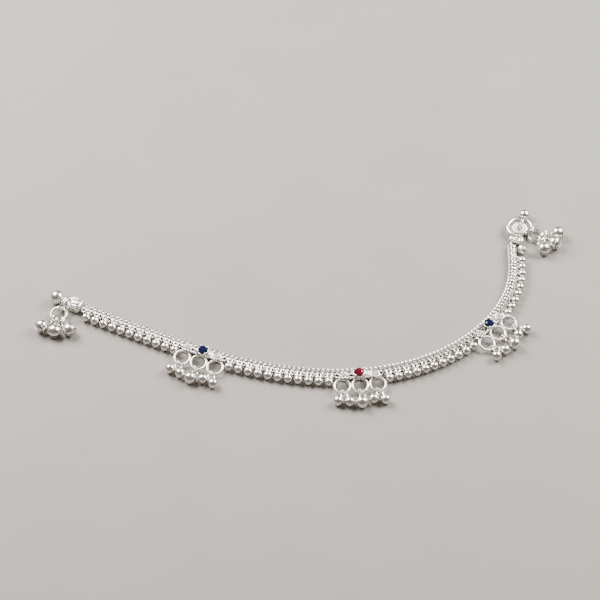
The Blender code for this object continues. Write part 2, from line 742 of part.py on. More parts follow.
def make_clasp(end_frame, silver):
    """Crown connector, rosette, C hook with its ball, and the eyelet, soldered in one."""
    loops = []
    for stage in CROWN_STAGES:
        turn = Matrix.Rotation(-CLASP_TURN * stage["turned"], 4, "Z")
        place = Matrix.Translation((CROWN_LENGTH * stage["along"], 0, 0)) @ turn
        width = CROWN_LOBE_WIDTH * stage["width"]
        loops.append(eight_sided(place, width, CROWN_HEIGHT * stage["height"], CAP_CHAMFER))
    disc = moved(
        rosette(DISC_DIAMETER, DISC_THICKNESS, DISC_DOME),
        Matrix.Translation((disc_centre_along(), 0, DISC_BOTTOM)),
    )
    centre = hook_centre()
    hook_reach = (HOOK_OUTER - HOOK_WIRE) / 2
    hook = bent_wire(hook_reach, HOOK_WIRE, HOOK_TIP_ANGLE, HOOK_ROOT_ANGLE, HOOK_STEPS, ROD_SIDES)
    beyond = (HOOK_OUTER + HOOK_BALL_DIAMETER) / 2 - SOLDER_LAP
    far_ball = Vector((centre.x + beyond, 0, HOOK_BALL_DIAMETER / 2))
    disc_middle = Vector((disc_centre_along(), 0, DISC_BOTTOM + DISC_THICKNESS / 2))
    eyelet = eyelet_place()
    upright = Matrix.Rotation(math.pi / 2, 4, "Y")
    lug_foot = (eyelet.x, eyelet.y + EYELET_OUTER / 2 - EYELET_WIRE / 2, eyelet.z)
    lug_head = (eyelet.x, -DISC_DIAMETER / 2 + LUG_DIAMETER, DISC_BOTTOM + DISC_THICKNESS / 2)
    shapes = [
        lofted(loops),
        disc,
        moved(hook, Matrix.Translation(centre)),
        moved(ball(HOOK_BALL_DIAMETER), Matrix.Translation(far_ball)),
        rod(POST_DIAMETER, disc_middle, centre + Vector((hook_reach, 0, 0))),
        moved(ring(EYELET_OUTER, EYELET_WIRE, SMALL_RING_SIDES), Matrix.Translation(eyelet) @ upright),
        rod(LUG_DIAMETER, lug_foot, lug_head),
    ]
    piece("clasp_hook", fused("clasp_hook", shapes), silver, end_frame)


def clasp_frame(route, end):
    """The clasp's own frame at the band's right end, turned outward."""
    aside = Matrix.Translation((CLEARANCE, -CLASP_OUTWARD, 0))
    return route.frame(end) @ aside @ Matrix.Rotation(CLASP_TURN, 4, "Z")


def main():
    for old in list(bpy.data.objects):
        bpy.data.objects.remove(old)
    silver = metal("silver", (0.90, 0.88, 0.85), 0.28)
    blue = glass_stone("blue stone", (0.01, 0.03, 0.22))
    red = glass_stone("red stone", (0.45, 0.005, 0.04))
    route = Route(ROUTE)
    at = stations()
    make_chain(route, at, silver)
    for number, (along, gem) in enumerate(zip(at["motifs"], (blue, red, blue)), start=1):
        make_motif(number, route.frame(along), silver, gem)
    start = route.frame(CHAIN_START)
    make_end_cap(start, silver)
    make_end_bells("left", start, left_jump_frame(), LEFT_BELL_HEADING, silver)
    clasp = clasp_frame(route, at["end"])
    make_clasp(clasp, silver)
    make_end_bells("right", clasp, right_jump_frame(), RIGHT_BELL_HEADING, silver)


main()
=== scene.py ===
"""Looks of the silver payal anklet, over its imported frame.

Each sub-assembly is a class that models its fine shapes and dresses them: the woven band and
its beads, the soldered motifs with their stones and drops, the shell cap, the hook clasp and
the end bells. Lengths are in metres, +Z is up, and the surface is at z = 0.
"""

from __future__ import annotations

import logging
import math
from collections.abc import Iterator, Mapping, Sequence
from dataclasses import dataclass
from enum import Enum
from typing import Any

import bmesh
import bpy
import numpy as np
from bmesh.types import BMesh
from bpy.types import Material, Node, NodeTree, Object
from mathutils import Matrix, Vector

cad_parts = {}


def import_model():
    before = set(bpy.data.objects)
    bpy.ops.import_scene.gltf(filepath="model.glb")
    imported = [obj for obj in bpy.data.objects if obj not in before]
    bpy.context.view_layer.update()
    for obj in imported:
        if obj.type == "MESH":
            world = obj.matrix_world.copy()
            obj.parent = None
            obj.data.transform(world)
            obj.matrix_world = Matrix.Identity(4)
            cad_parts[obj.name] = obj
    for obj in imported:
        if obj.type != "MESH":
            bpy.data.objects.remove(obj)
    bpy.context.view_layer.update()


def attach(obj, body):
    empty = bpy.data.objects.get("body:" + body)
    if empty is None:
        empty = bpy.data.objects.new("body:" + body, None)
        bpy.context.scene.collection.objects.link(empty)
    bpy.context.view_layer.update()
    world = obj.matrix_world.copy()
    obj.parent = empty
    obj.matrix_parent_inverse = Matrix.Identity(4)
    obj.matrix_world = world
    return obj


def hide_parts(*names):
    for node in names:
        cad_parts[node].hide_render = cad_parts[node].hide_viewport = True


MM = 0.001
FULL_TURN = 2 * math.pi
QUARTER = math.pi / 2
BODY = "root"

# Sizes that several sub-assemblies share.
BAND_HALF = 2.6 * MM
CLEARANCE = 0.3 * MM
JUMP_OUTER = 8.0 * MM
JUMP_WIRE = 1.1 * MM
JUMP_REACH = (JUMP_OUTER - JUMP_WIRE) / 2
LINK_WIRE = 0.7 * MM

# Where the clasp sits past the band's end, and which way the end bells spread.
CLASP_SHIFT = (0.3 * MM, -1.2 * MM, 0.0)
CLASP_TURN = math.radians(-17)
LEFT_HEADING = math.radians(-72)
RIGHT_HEADING = math.radians(-109)

# Turns that stand a flat ring up: the first faces it along Y, the second along X.
FACING_Y = Matrix.Rotation(QUARTER, 4, "X")
FACING_X = Matrix.Rotation(QUARTER, 4, "Y")

# Ridge line of the band on the surface, listed from left to right (x, y).
ROUTE = (
    (-0.0978, -0.0008), (-0.0798, -0.0094), (-0.0617, -0.0179), (-0.0433, -0.0257),
    (-0.0244, -0.0322), (-0.0050, -0.0366), (0.0149, -0.0382), (0.0347, -0.0363),
    (0.0537, -0.0302), (0.0707, -0.0198), (0.0842, -0.0052), (0.0925, 0.0129),
    (0.0940, 0.0327),
)

logger = logging.getLogger("payal")


class Holds(Enum):
    """What hangs on a stretch of the band."""

    NOTHING = "nothing"
    BEADS = "beads"
    MOTIF = "motif"
    COIL_BEAD = "coil bead"


class Side(Enum):
    """An end of the anklet."""

    LEFT = "left"
    RIGHT = "right"


class RosetteKind(Enum):
    """How a rosette's face is worked."""

    SWIRL = "swirl of petals"
    GRANULES = "flower of granules"


@dataclass(frozen=True)
class Stretch:
    """A stretch of the band: what it holds, its pitches, and their share of the full pitch."""

    holds: Holds
    pitches: int
    share: float


# The band from left to right, with shares of the full pitch that were matched.
STRETCHES = (
    Stretch(Holds.NOTHING, 1, 0.97),
    Stretch(Holds.BEADS, 10, 1.06),
    Stretch(Holds.MOTIF, 6, 1.037),
    Stretch(Holds.BEADS, 10, 1.06),
    Stretch(Holds.MOTIF, 6, 1.037),
    Stretch(Holds.BEADS, 10, 0.965),
    Stretch(Holds.MOTIF, 6, 0.96),
    Stretch(Holds.BEADS, 8, 0.915),
    Stretch(Holds.COIL_BEAD, 2, 0.75),
    Stretch(Holds.NOTHING, 1, 0.72),
)


def at(x: float, y: float, z: float) -> Matrix:
    """Give a place by its coordinates."""
    return Matrix.Translation((x, y, z))


def about(axis: str, angle: float) -> Matrix:
    """Give a turn about an axis."""
    return Matrix.Rotation(angle, 4, axis)


def linear_colour(hex_colour: str) -> tuple[float, float, float, float]:
    """Turn an sRGB hex colour into linear values.

    Args:
        hex_colour: Six hex digits, such as "F2EEE8".

    Returns:
        Red, green, blue and an alpha of 1.
    """
    shares = [int(hex_colour[i : i + 2], 16) / 255 for i in (0, 2, 4)]
    red, green, blue = [s / 12.92 if s <= 0.04045 else ((s + 0.055) / 1.055) ** 2.4 for s in shares]
    return red, green, blue, 1.0


def add_node(
    tree: NodeTree,
    kind: str,
    settings: Mapping[Any, Any] | None = None,
    links: Mapping[Any, tuple[Node, Any]] | None = None,
) -> Node:
    """Add a shader node with its settings and links.

    Args:
        tree: The material's nodes.
        kind: The node's type name.
        settings: Values by property name, or by socket name or number.
        links: For a socket name or number, the node and the output that feed it.

    Returns:
        The new node.
    """
    node = tree.nodes.new(kind)
    for key, value in (settings or {}).items():
        if isinstance(key, str) and hasattr(node, key):
            setattr(node, key, value)
        else:
            node.inputs[key].default_value = value
    for key, (source, output) in (links or {}).items():
        tree.links.new(source.outputs[output], node.inputs[key])
    return node


def start_material(name: str, values: Mapping[str, float]) -> tuple[Material, NodeTree, Node]:
    """Start a material.

    Args:
        name: Its name.
        values: Values of its shader's sockets.

    Returns:
        The material, its nodes and its shader.
    """
    made = bpy.data.materials.new(name)
    made.use_nodes = True
    shader = made.node_tree.nodes["Principled BSDF"]
    for socket, value in values.items():
        shader.inputs[socket].default_value = value
    return made, made.node_tree, shader


@dataclass(frozen=True)
class SilverFinish:
    """A finish of sterling silver: light reflects nearly white, a little warm."""

    name: str
    bright: str = "F4F0EA"
    worn: str = "D9D2C8"
    polished: float = 0.14
    frosted: float = 0.26
    patch: float = 3.0 * MM
    grain: float = 0.5 * MM
    relief: float = 0.12
    # Painted shade toward the surface that the anklet lies on: its colour, and the heights where it
    # is full and where it is gone.
    low_shade: str = ""
    shade_full_below: float = 0.3 * MM
    shade_gone_above: float = 1.7 * MM

    def material(self) -> Material:
        """Make the material.

        Returns:
            A metal whose tone and gloss vary in small patches, with a fine grain, and, where the
            finish has it, a painted shade that darkens it toward the surface that the anklet lies
            on.
        """
        made, tree, shader = start_material(self.name, {"Metallic": 1.0})
        spot = add_node(tree, "ShaderNodeTexCoord")
        here = {"Vector": (spot, "Object")}
        noise = "ShaderNodeTexNoise"
        patches = add_node(tree, noise, {"Scale": 1 / self.patch, "Detail": 3.0}, here)
        tone = add_node(
            tree, "ShaderNodeMix",
            {"data_type": "RGBA", 6: linear_colour(self.bright), 7: linear_colour(self.worn)},
            {0: (patches, "Fac")},
        )
        # Painted shade: the colour darkens toward the surface that the anklet lies on, fully dark
        # at the lowest heights.
        if self.low_shade:
            place = add_node(tree, "ShaderNodeSeparateXYZ", links=here)
            height = add_node(
                tree, "ShaderNodeMapRange",
                {"From Min": self.shade_full_below, "From Max": self.shade_gone_above},
                {"Value": (place, "Z")},
            )
            tone = add_node(
                tree, "ShaderNodeMix", {"data_type": "RGBA", 6: linear_colour(self.low_shade)},
                {0: (height, "Result"), 7: (tone, 2)},
            )
        gloss = add_node(
            tree, "ShaderNodeMapRange",
            {"From Min": 0.35, "From Max": 0.65, "To Min": self.polished, "To Max": self.frosted},
            {"Value": (patches, "Fac")},
        )
        grain = add_node(tree, noise, {"Scale": 1 / self.grain, "Detail": 2.0}, here)
        relief = add_node(
            tree, "ShaderNodeBump", {"Strength": self.relief, "Distance": 0.05 * MM},
            {"Height": (grain, "Fac")},
        )
        tree.links.new(tone.outputs[2], shader.inputs["Base Color"])
        tree.links.new(gloss.outputs["Result"], shader.inputs["Roughness"])
        tree.links.new(relief.outputs["Normal"], shader.inputs["Normal"])
        return made


@dataclass(frozen=True)
class StoneFinish:
    """A faceted glass stone: each facet is painted its own share of a brighter colour, as painted
    glints.
    """

    name: str
    deep: str
    bright: str
    glint_shares: str = "facet_glint"

    def material(self) -> Material:
        """Make the material.

        Returns:
            A coloured glass that lets some light through to its setting.
        """
        glass = {"IOR": 1.7, "Roughness": 0.04, "Transmission Weight": 0.3}
        made, tree, shader = start_material(self.name, glass)
        # Painted glints: each facet's stored share mixes the deep colour toward the bright one.
        facet = add_node(tree, "ShaderNodeAttribute", {"attribute_name": self.glint_shares})
        tone = add_node(
            tree, "ShaderNodeMix",
            {"data_type": "RGBA", 6: linear_colour(self.deep), 7: linear_colour(self.bright)},
            {0: (facet, "Fac")},
        )
        tree.links.new(tone.outputs[2], shader.inputs["Base Color"])
        return made

    def paint_facet_glints(self, stone: Object) -> None:
        """Give each facet its share of the bright colour as a painted glint, spread evenly in no
        clear order.

        Args:
            stone: The cut stone.
        """
        golden = (math.sqrt(5) - 1) / 2
        glint_shares = stone.data.attributes.new(self.glint_shares, "FLOAT", "FACE")
        for i, value in enumerate(glint_shares.data):
            value.value = (i * golden) % 1


@dataclass(frozen=True)
class PaperFinish:
    """Matt pale paper: an even off-white with a faint mottle."""

    name: str = "pale matt paper"
    light: str = "8B857E"
    shade: str = "847E77"
    mottle: float = 40 * MM

    def material(self) -> Material:
        """Make the material.

        Returns:
            A matt paper with a faint mottle.
        """
        made, tree, shader = start_material(self.name, {"Roughness": 0.7})
        spot = add_node(tree, "ShaderNodeTexCoord")
        mottle = add_node(
            tree, "ShaderNodeTexNoise", {"Scale": 1 / self.mottle}, {"Vector": (spot, "Object")}
        )
        tone = add_node(
            tree, "ShaderNodeMix",
            {"data_type": "RGBA", 6: linear_colour(self.light), 7: linear_colour(self.shade)},
            {0: (mottle, "Fac")},
        )
        tree.links.new(tone.outputs[2], shader.inputs["Base Color"])
        return made


@dataclass(frozen=True)
class Palette:
    """The materials that the pieces share."""

    ball: Material
    wire: Material
    weave: Material
    cast: Material
    # Dark silver painted into hollows and under parts, as painted shade.
    ground: Material

    @classmethod
    def mixed(cls) -> Palette:
        """Make every silver finish once, and return them together."""
        return cls(
            # Pressed hollow balls are tumbled to a soft shine.
            ball=SilverFinish("tumbled silver ball", polished=0.20, frosted=0.30).material(),
            # Drawn wire keeps an even satin along its length.
            wire=SilverFinish("drawn silver wire", polished=0.22, frosted=0.32).material(),
            # The weave is painted darker toward the surface it lies on, a painted shade that makes
            # its gaps look dark.
            weave=SilverFinish(
                "woven silver wire", polished=0.24, frosted=0.36, low_shade="4E4842"
            ).material(),
            # Cast and granulated pieces keep a frosted skin.
            cast=SilverFinish(
                "frosted cast silver", polished=0.28, frosted=0.42, grain=0.35 * MM, relief=0.2
            ).material(),
            # The ground behind grains and ribs, the grooves and the parts under others get dark
            # silver: painted shade in the hollows.
            ground=SilverFinish(
                "oxidised silver ground", bright="726B63", worn="423D37",
                polished=0.40, frosted=0.55, patch=1.2 * MM,
            ).material(),
        )


def moved(shape: BMesh, place: Matrix) -> BMesh:
    """Move a shape to its place, and return it."""
    bmesh.ops.transform(shape, matrix=place, verts=shape.verts)
    return shape


def spun(profile: BMesh, steps: int, angle: float = FULL_TURN) -> BMesh:
    """Spin a profile about Z.

    Args:
        profile: Its points and edges.
        steps: Steps along the turn.
        angle: The turn, which closes on itself where it is a full one.

    Returns:
        The same mesh, with its faces.
    """
    bmesh.ops.spin(
        profile, geom=profile.verts[:] + profile.edges[:], axis=(0, 0, 1), cent=(0, 0, 0),
        steps=steps, angle=angle, use_merge=angle == FULL_TURN,
    )
    return profile


def wire_end(radius: float, wire: float, sides: int, first: float = 0.0) -> BMesh:
    """Start a bend with its wire's cross section.

    Args:
        radius: The bend's radius at the wire's middle.
        wire: The wire's diameter.
        sides: Sides of the wire.
        first: The angle where the bend starts.

    Returns:
        The open circle.
    """
    bm = bmesh.new()
    start = about("Z", first) @ (at(radius, 0, 0) @ FACING_Y)
    bmesh.ops.create_circle(bm, segments=sides, radius=wire / 2, matrix=start)
    return bm


def wire_ring(outer: float, wire: float, around: int = 28, sides: int = 8) -> BMesh:
    """Bend a wire to a closed ring of an outer diameter, in the XY plane about the origin."""
    return spun(wire_end((outer - wire) / 2, wire, sides), around)


def bent_wire(radius: float, wire: float, first: float, last: float, steps: int) -> BMesh:
    """Bend a wire along an arc in the XY plane about the origin, with round ends.

    Args:
        radius: The arc's radius at the wire's middle.
        wire: The wire's diameter.
        first: The angle where it starts.
        last: The angle where it ends.
        steps: Steps along the arc.

    Returns:
        The wire.
    """
    bm = spun(wire_end(radius, wire, 10, first), steps, last - first)
    bmesh.ops.holes_fill(bm, edges=[edge for edge in bm.edges if edge.is_boundary], sides=0)
    for angle in (first, last):
        end = at(radius * math.cos(angle), radius * math.sin(angle), 0)
        bmesh.ops.create_uvsphere(bm, u_segments=10, v_segments=8, radius=wire / 2, matrix=end)
    return bm


def ball(diameter: float, around: int, bands: int) -> BMesh:
    """Make a round ball about the origin.

    Args:
        diameter: The ball's diameter.
        around: Steps around it.
        bands: Bands from pole to pole.

    Returns:
        The ball.
    """
    bm = bmesh.new()
    bmesh.ops.create_uvsphere(bm, u_segments=around, v_segments=bands, radius=diameter / 2)
    return bm


def granule(diameter: float, squash: tuple[float, float, float] = (1, 1, 1)) -> BMesh:
    """Make a small soldered grain, round or squashed along the axes to a petal."""
    return moved(ball(diameter, 10, 6), Matrix.Diagonal((*squash, 1)))


def slit_ball(diameter: float, mouth: float, wall: float) -> BMesh:
    """Make a hollow ball with a slit across its -Y side, as a bell has.

    Args:
        diameter: The ball's diameter.
        mouth: Half of the slit's angle, seen from the ball's middle.
        wall: The thickness of the wall that shows in the slit.

    Returns:
        The ball.
    """
    radius = diameter / 2
    columns = 30
    # With the poles on X, half a column's turn centres a column of faces on -Y.
    shell = moved(ball(diameter, columns, 20), about("X", math.pi / columns) @ FACING_X)
    middles = ((face, face.calc_center_median()) for face in shell.faces)
    slit = [
        face
        for face, spot in middles
        if spot.y < 0 and abs(spot.z) < radius / 20 and abs(spot.x) < radius * math.sin(mouth)
    ]
    bmesh.ops.delete(shell, geom=slit, context="FACES")
    edges = [edge for edge in shell.edges if edge.is_boundary]
    inner = bmesh.ops.extrude_edge_only(shell, edges=edges)["geom"]
    for vert in (part for part in inner if isinstance(part, bmesh.types.BMVert)):
        vert.co *= 1 - wall / radius
    return shell


def rod(diameter: float, start: Vector, end: Vector) -> BMesh:
    """Make a straight round rod between the middles of its two ends.

    Args:
        diameter: The rod's diameter.
        start: The middle of one end.
        end: The middle of the other.

    Returns:
        The rod.
    """
    axis = end - start
    bm = bmesh.new()
    bmesh.ops.create_cone(
        bm, cap_ends=True, segments=12,
        radius1=diameter / 2, radius2=diameter / 2, depth=axis.length,
    )
    turn = axis.to_track_quat("Z", "Y").to_matrix().to_4x4()
    return moved(bm, Matrix.Translation((start + end) / 2) @ turn)


def turned(profile: Sequence[tuple[float, float]], around: int) -> BMesh:
    """Turn a profile about Z.

    Args:
        profile: (radius, height) points that start and end on the axis.
        around: Steps around.

    Returns:
        The closed shape.
    """
    bm = bmesh.new()
    points = [bm.verts.new((radius, 0, height)) for radius, height in profile]
    for pair in zip(points, points[1:]):
        bm.edges.new(pair)
    spun(bm, around)
    bmesh.ops.remove_doubles(bm, verts=bm.verts, dist=0.001 * MM)
    return bm


def soft_block(size: tuple[float, float, float], rounding: float) -> BMesh:
    """Make a block with generously rounded edges about the origin.

    Args:
        size: Its length along each axis.
        rounding: The radius of its edges.

    Returns:
        The block.
    """
    bm = bmesh.new()
    bmesh.ops.create_cube(bm, size=1, matrix=Matrix.Diagonal((*size, 1)))
    bmesh.ops.bevel(
        bm, geom=bm.edges[:], offset=rounding, offset_type="OFFSET", segments=5,
        profile=0.5, affect="EDGES", material=-1,
    )
    return bm


def around_z(radius: float, count: int, height: float, start: float = 0.0) -> Iterator[Matrix]:
    """Give places spaced evenly on a circle, each turned so that X points outward."""
    for step in range(count):
        yield about("Z", start + FULL_TURN * step / count) @ at(radius, 0, height)


class Casting:
    """One mesh that gathers shapes as solder does."""

    def __init__(self) -> None:
        """Start with no metal."""
        self.metal = bmesh.new()

    def add(self, shape: BMesh, *places: Matrix, finish: int = 0) -> None:
        """Add a copy of a shape at each place, and leave the shape as it was.

        Args:
            shape: The shape to copy.
            places: Where its origin goes, or none to leave it where it is.
            finish: The number of its finish among those that the piece gets.
        """
        for place in places or (Matrix(),):
            copy = bpy.data.meshes.new("copy")
            shape.to_mesh(copy)
            copy.transform(place)
            first = len(self.metal.faces)
            self.metal.from_mesh(copy)
            bpy.data.meshes.remove(copy)
            if finish:
                self.metal.faces.ensure_lookup_table()
                for face in self.metal.faces[first:]:
                    face.material_index = finish

    def moved(self, place: Matrix) -> BMesh:
        """Move all of the metal, and return it."""
        return moved(self.metal, place)


def stand(name: str, data: Any) -> Object:
    """Put a mesh, light or camera in the scene.

    Args:
        name: The object's name.
        data: What it shows.

    Returns:
        The object.
    """
    made = bpy.data.objects.new(name, data)
    bpy.context.scene.collection.objects.link(made)
    return made


def hand_over(
    name: str,
    metal: BMesh,
    finishes: Sequence[Material],
    *nodes: str,
    slot: str = "silver",
    sharp: float = 40.0,
) -> Object:
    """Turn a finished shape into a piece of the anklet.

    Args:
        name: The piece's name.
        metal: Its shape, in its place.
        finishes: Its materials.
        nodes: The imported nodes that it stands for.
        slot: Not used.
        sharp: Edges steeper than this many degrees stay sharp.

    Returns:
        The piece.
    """
    bmesh.ops.recalc_face_normals(metal, faces=metal.faces)
    mesh = bpy.data.meshes.new(name)
    metal.to_mesh(mesh)
    metal.free()
    for finish in finishes:
        mesh.materials.append(finish)
    mesh.shade_smooth()
    mesh.set_sharp_from_angle(angle=math.radians(sharp))
    made = stand(name, mesh)
    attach(made, BODY)
    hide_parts(*nodes)
    logger.info("%s: %d faces", name, len(mesh.polygons))
    return made


def natural_spline(knots: np.ndarray, values: np.ndarray, spots: np.ndarray) -> np.ndarray:
    """Read a natural cubic spline.

    Args:
        knots: Where the values are given.
        values: The values there.
        spots: Where to read it.

    Returns:
        The values read.
    """
    gaps = np.diff(knots)
    slopes = np.diff(values) / gaps
    size = len(knots)
    rows, right = np.eye(size), np.zeros(size)
    for i in range(1, size - 1):
        rows[i, i - 1 : i + 2] = gaps[i - 1], 2 * (gaps[i - 1] + gaps[i]), gaps[i]
        right[i] = 6 * (slopes[i] - slopes[i - 1])
    bend = np.linalg.solve(rows, right)
    i = np.clip(np.searchsorted(knots, spots, side="right") - 1, 0, size - 2)
    h, left, rest = gaps[i], spots - knots[i], knots[i + 1] - spots
    return (
        (bend[i] * rest**3 + bend[i + 1] * left**3) / (6 * h)
        + (values[i] / h - bend[i] * h / 6) * rest
        + (values[i + 1] / h - bend[i + 1] * h / 6) * left
    )


@dataclass
class BandLayout:
    """Where things lie along the band's ridge line."""

    pitch: float = 4.08 * MM
    samples: int = 2400

    def __post_init__(self) -> None:
        """Work out the line, and the lengths along it where things hang."""
        corners = np.array(ROUTE)
        chord = np.hypot(*np.diff(corners, axis=0).T)
        knots = np.concatenate(([0.0], np.cumsum(chord)))
        t = np.linspace(0.0, knots[-1], self.samples)
        self.line = np.column_stack([natural_spline(knots, corners[:, i], t) for i in (0, 1)])
        steps = np.hypot(*np.diff(self.line, axis=0).T)
        self.length_at = np.concatenate(([0.0], np.cumsum(steps)))
        self.heading = np.unwrap(np.arctan2(*np.gradient(self.line, axis=0).T[::-1]))
        self.lay_out()

    def lay_out(self) -> None:
        """Walk the stretches, and note the links, beads, motifs and coil bead."""
        along = 0.0
        self.links: list[tuple[float, float]] = []
        self.beads: list[float] = []
        self.motifs: list[float] = []
        self.coil = 0.0
        for stretch in STRETCHES:
            pitch = self.pitch * stretch.share
            if stretch.holds is Holds.BEADS:
                self.beads += [along + pitch * i for i in range(stretch.pitches + 1)]
            if stretch.holds is Holds.MOTIF:
                self.motifs.append(along + pitch * stretch.pitches / 2)
            for half in range(2 * stretch.pitches):
                self.links.append((along + pitch * (half + 0.5) / 2, pitch / 2))
            along += pitch * stretch.pitches
            if stretch.holds is Holds.COIL_BEAD:
                self.coil = along
        self.end = along

    def frame(self, along: float) -> Matrix:
        """Give the place at a length along the line: X follows it, Y points inward.

        Args:
            along: The length from the left end.

        Returns:
            The place on the surface.
        """
        x, y = (np.interp(along, self.length_at, self.line[:, i]) for i in (0, 1))
        heading = float(np.interp(along, self.length_at, self.heading))
        beyond = along - min(max(along, 0.0), float(self.length_at[-1]))
        x, y = x + beyond * math.cos(heading), y + beyond * math.sin(heading)
        return at(x, y, 0) @ about("Z", heading)


@dataclass(frozen=True)
class RingRow:
    """A row of woven rings that overlap as scales do."""

    aside: float
    height: float
    outer: float
    lean: float
    swing: float
    half_step: bool
    sway: float = 0.0

    def place(self, number: int, gap: float) -> Matrix:
        """Give a ring's place at its step along the band.

        Args:
            number: The step's number.
            gap: The length of the step.

        Returns:
            The place from the ridge line on the surface.
        """
        sway = self.sway if number % 2 else -self.sway
        spot = at(gap / 2 if self.half_step else 0.0, self.aside + sway, self.height)
        return spot @ (about("Z", self.swing) @ about("X", self.lean))


@dataclass
class Assembly:
    """A part of the anklet, and the materials that dress it."""

    palette: Palette


@dataclass
class WovenBand(Assembly):
    """The band of looped silver wire: rows of leaning rings over flat cross links."""

    layout: BandLayout
    wire: float = 0.66 * MM
    link_along: float = 2.3 * MM
    link_across: float = 4.8 * MM
    link_height: float = 0.75 * MM
    link_arch: float = 0.7 * MM
    # A dark squashed grain inside each pitch of the weave: painted shade that fills the gaps
    # between links.
    core: float = 2.6 * MM
    shade_core_height: float = 1.25 * MM
    eye: float = 2.6 * MM
    eye_wire: float = 0.8 * MM
    eye_outward: float = 2.0 * MM
    eye_height: float = 3.05 * MM
    eye_tilt: float = math.radians(18)

    def rows(self) -> tuple[RingRow, ...]:
        """Give the inner edge, the ridge, and the row beside the beads."""
        swing = math.radians(20)
        return (
            RingRow(1.65 * MM, 1.9 * MM, 2.5 * MM, math.radians(56), swing, False),
            RingRow(0.3 * MM, 2.6 * MM, 2.3 * MM, math.radians(60), -swing, True, 0.15 * MM),
            RingRow(-0.9 * MM, 2.2 * MM, 2.4 * MM, math.radians(42), swing, False),
        )

    def cross_link(self) -> BMesh:
        """Bend an oval link that lies across the band and rises in its middle.

        Returns:
            The link.
        """
        link = wire_ring(self.link_along, self.wire, around=14, sides=5)
        stretch = (self.link_across - self.link_along) / 2
        for vert in link.verts:
            if abs(vert.co.y) > 0.01 * MM:
                vert.co.y += math.copysign(stretch, vert.co.y)
            vert.co.z += self.link_arch * (1 - (2 * vert.co.y / self.link_across) ** 2)
        return link

    def build(self) -> None:
        """Weave the band."""
        band = Casting()
        rows = [(row, wire_ring(row.outer, self.wire, 14, 5)) for row in self.rows()]
        link, core = self.cross_link(), granule(self.core, (0.95, 1.35, 0.5))
        for number, (along, gap) in enumerate(self.layout.links):
            here = self.layout.frame(along)
            band.add(link, here @ at(gap / 2, 0, self.link_height))
            # The core takes the dark second finish, painted shade seen through the gaps between
            # links.
            band.add(core, here @ at(0, 0, self.shade_core_height), finish=1)
            for row, ring in rows:
                band.add(ring, here @ row.place(number, gap))
        eye = moved(wire_ring(self.eye, self.eye_wire, 18, 7), about("X", self.eye_tilt))
        out = at(0, -self.eye_outward, self.eye_height)
        band.add(eye, *(self.layout.frame(along) @ out for along in self.layout.beads))
        finishes = [self.palette.weave, self.palette.ground]
        hand_over("woven_band", band.metal, finishes, "chain")


@dataclass
class BeadRow(Assembly):
    """The round beads along the band's outer edge, and the wound bead near the clasp."""

    layout: BandLayout
    bead: float = 3.9 * MM
    bite: float = 0.5 * MM
    coil_bead: float = 4.6 * MM
    coil_wire: float = 0.5 * MM
    coil_angles: tuple[float, ...] = (math.radians(46), math.radians(66))
    coil_tip: float = 0.9 * MM
    coil_back: float = math.radians(-40)
    coil_aside: float = -0.3

    def place(self, along: float, diameter: float) -> Matrix:
        """Give the middle of a bead that bites into the band's edge."""
        outward = BAND_HALF + diameter / 2 - self.bite
        return self.layout.frame(along) @ at(0, -outward, diameter / 2)

    def build(self) -> None:
        """Make the row of beads and the wound bead."""
        row, wound = Casting(), Casting()
        row.add(ball(self.bead, 24, 14), *(self.place(s, self.bead) for s in self.layout.beads))
        hand_over("edge_beads", row.metal, [self.palette.ball], "chain")
        core = self.coil_bead - self.coil_wire / 2
        wound.add(ball(core, 28, 18))
        for angle in self.coil_angles:
            coil = wire_ring(core * math.cos(angle) + self.coil_wire, self.coil_wire, 28, 6)
            wound.add(coil, at(0, 0, core / 2 * math.sin(angle)))
        wound.add(granule(self.coil_tip), at(0, 0, core / 2))
        # The small coil faces up and back along the band.
        lean = about("Y", self.coil_back) @ about("X", self.coil_aside)
        metal = wound.moved(self.place(self.layout.coil, self.coil_bead) @ lean)
        hand_over("wound_bead", metal, [self.palette.ball], "chain")


@dataclass(frozen=True)
class EyedBall:
    """A hollow ball with a wire eye on its +Y side: a drop or a bell."""

    diameter: float
    eye_outer: float
    lift: float
    eye_wire: float = 0.6 * MM
    eye_lap: float = 0.3 * MM
    solder: float = 1.3 * MM

    def skin(self) -> float:
        """How far the ball's skin is from its middle where the eye sits."""
        return math.sqrt((self.diameter / 2) ** 2 - self.lift**2)

    def reach(self) -> float:
        """From the ball's middle to the eye's."""
        return self.skin() + self.eye_outer / 2 - self.eye_lap

    def hold(self, held_wire: float) -> float:
        """From the ball's middle to the wire that the far end of its eye holds."""
        return self.reach() + self.eye_outer / 2 - self.eye_wire - held_wire / 2 - CLEARANCE / 2

    def soldered(self, shell: BMesh) -> Casting:
        """Solder the eye to a shell, with a drop of solder between them.

        Args:
            shell: The ball, about the origin.

        Returns:
            The casting, about the ball's middle.
        """
        made = Casting()
        made.add(shell)
        eye = wire_ring(self.eye_outer, self.eye_wire, 24, 8)
        made.add(eye, at(0, self.reach(), self.lift))
        made.add(granule(self.solder, (1, 0.6, 0.8)), at(0, self.skin() - 0.1 * MM, self.lift))
        return made


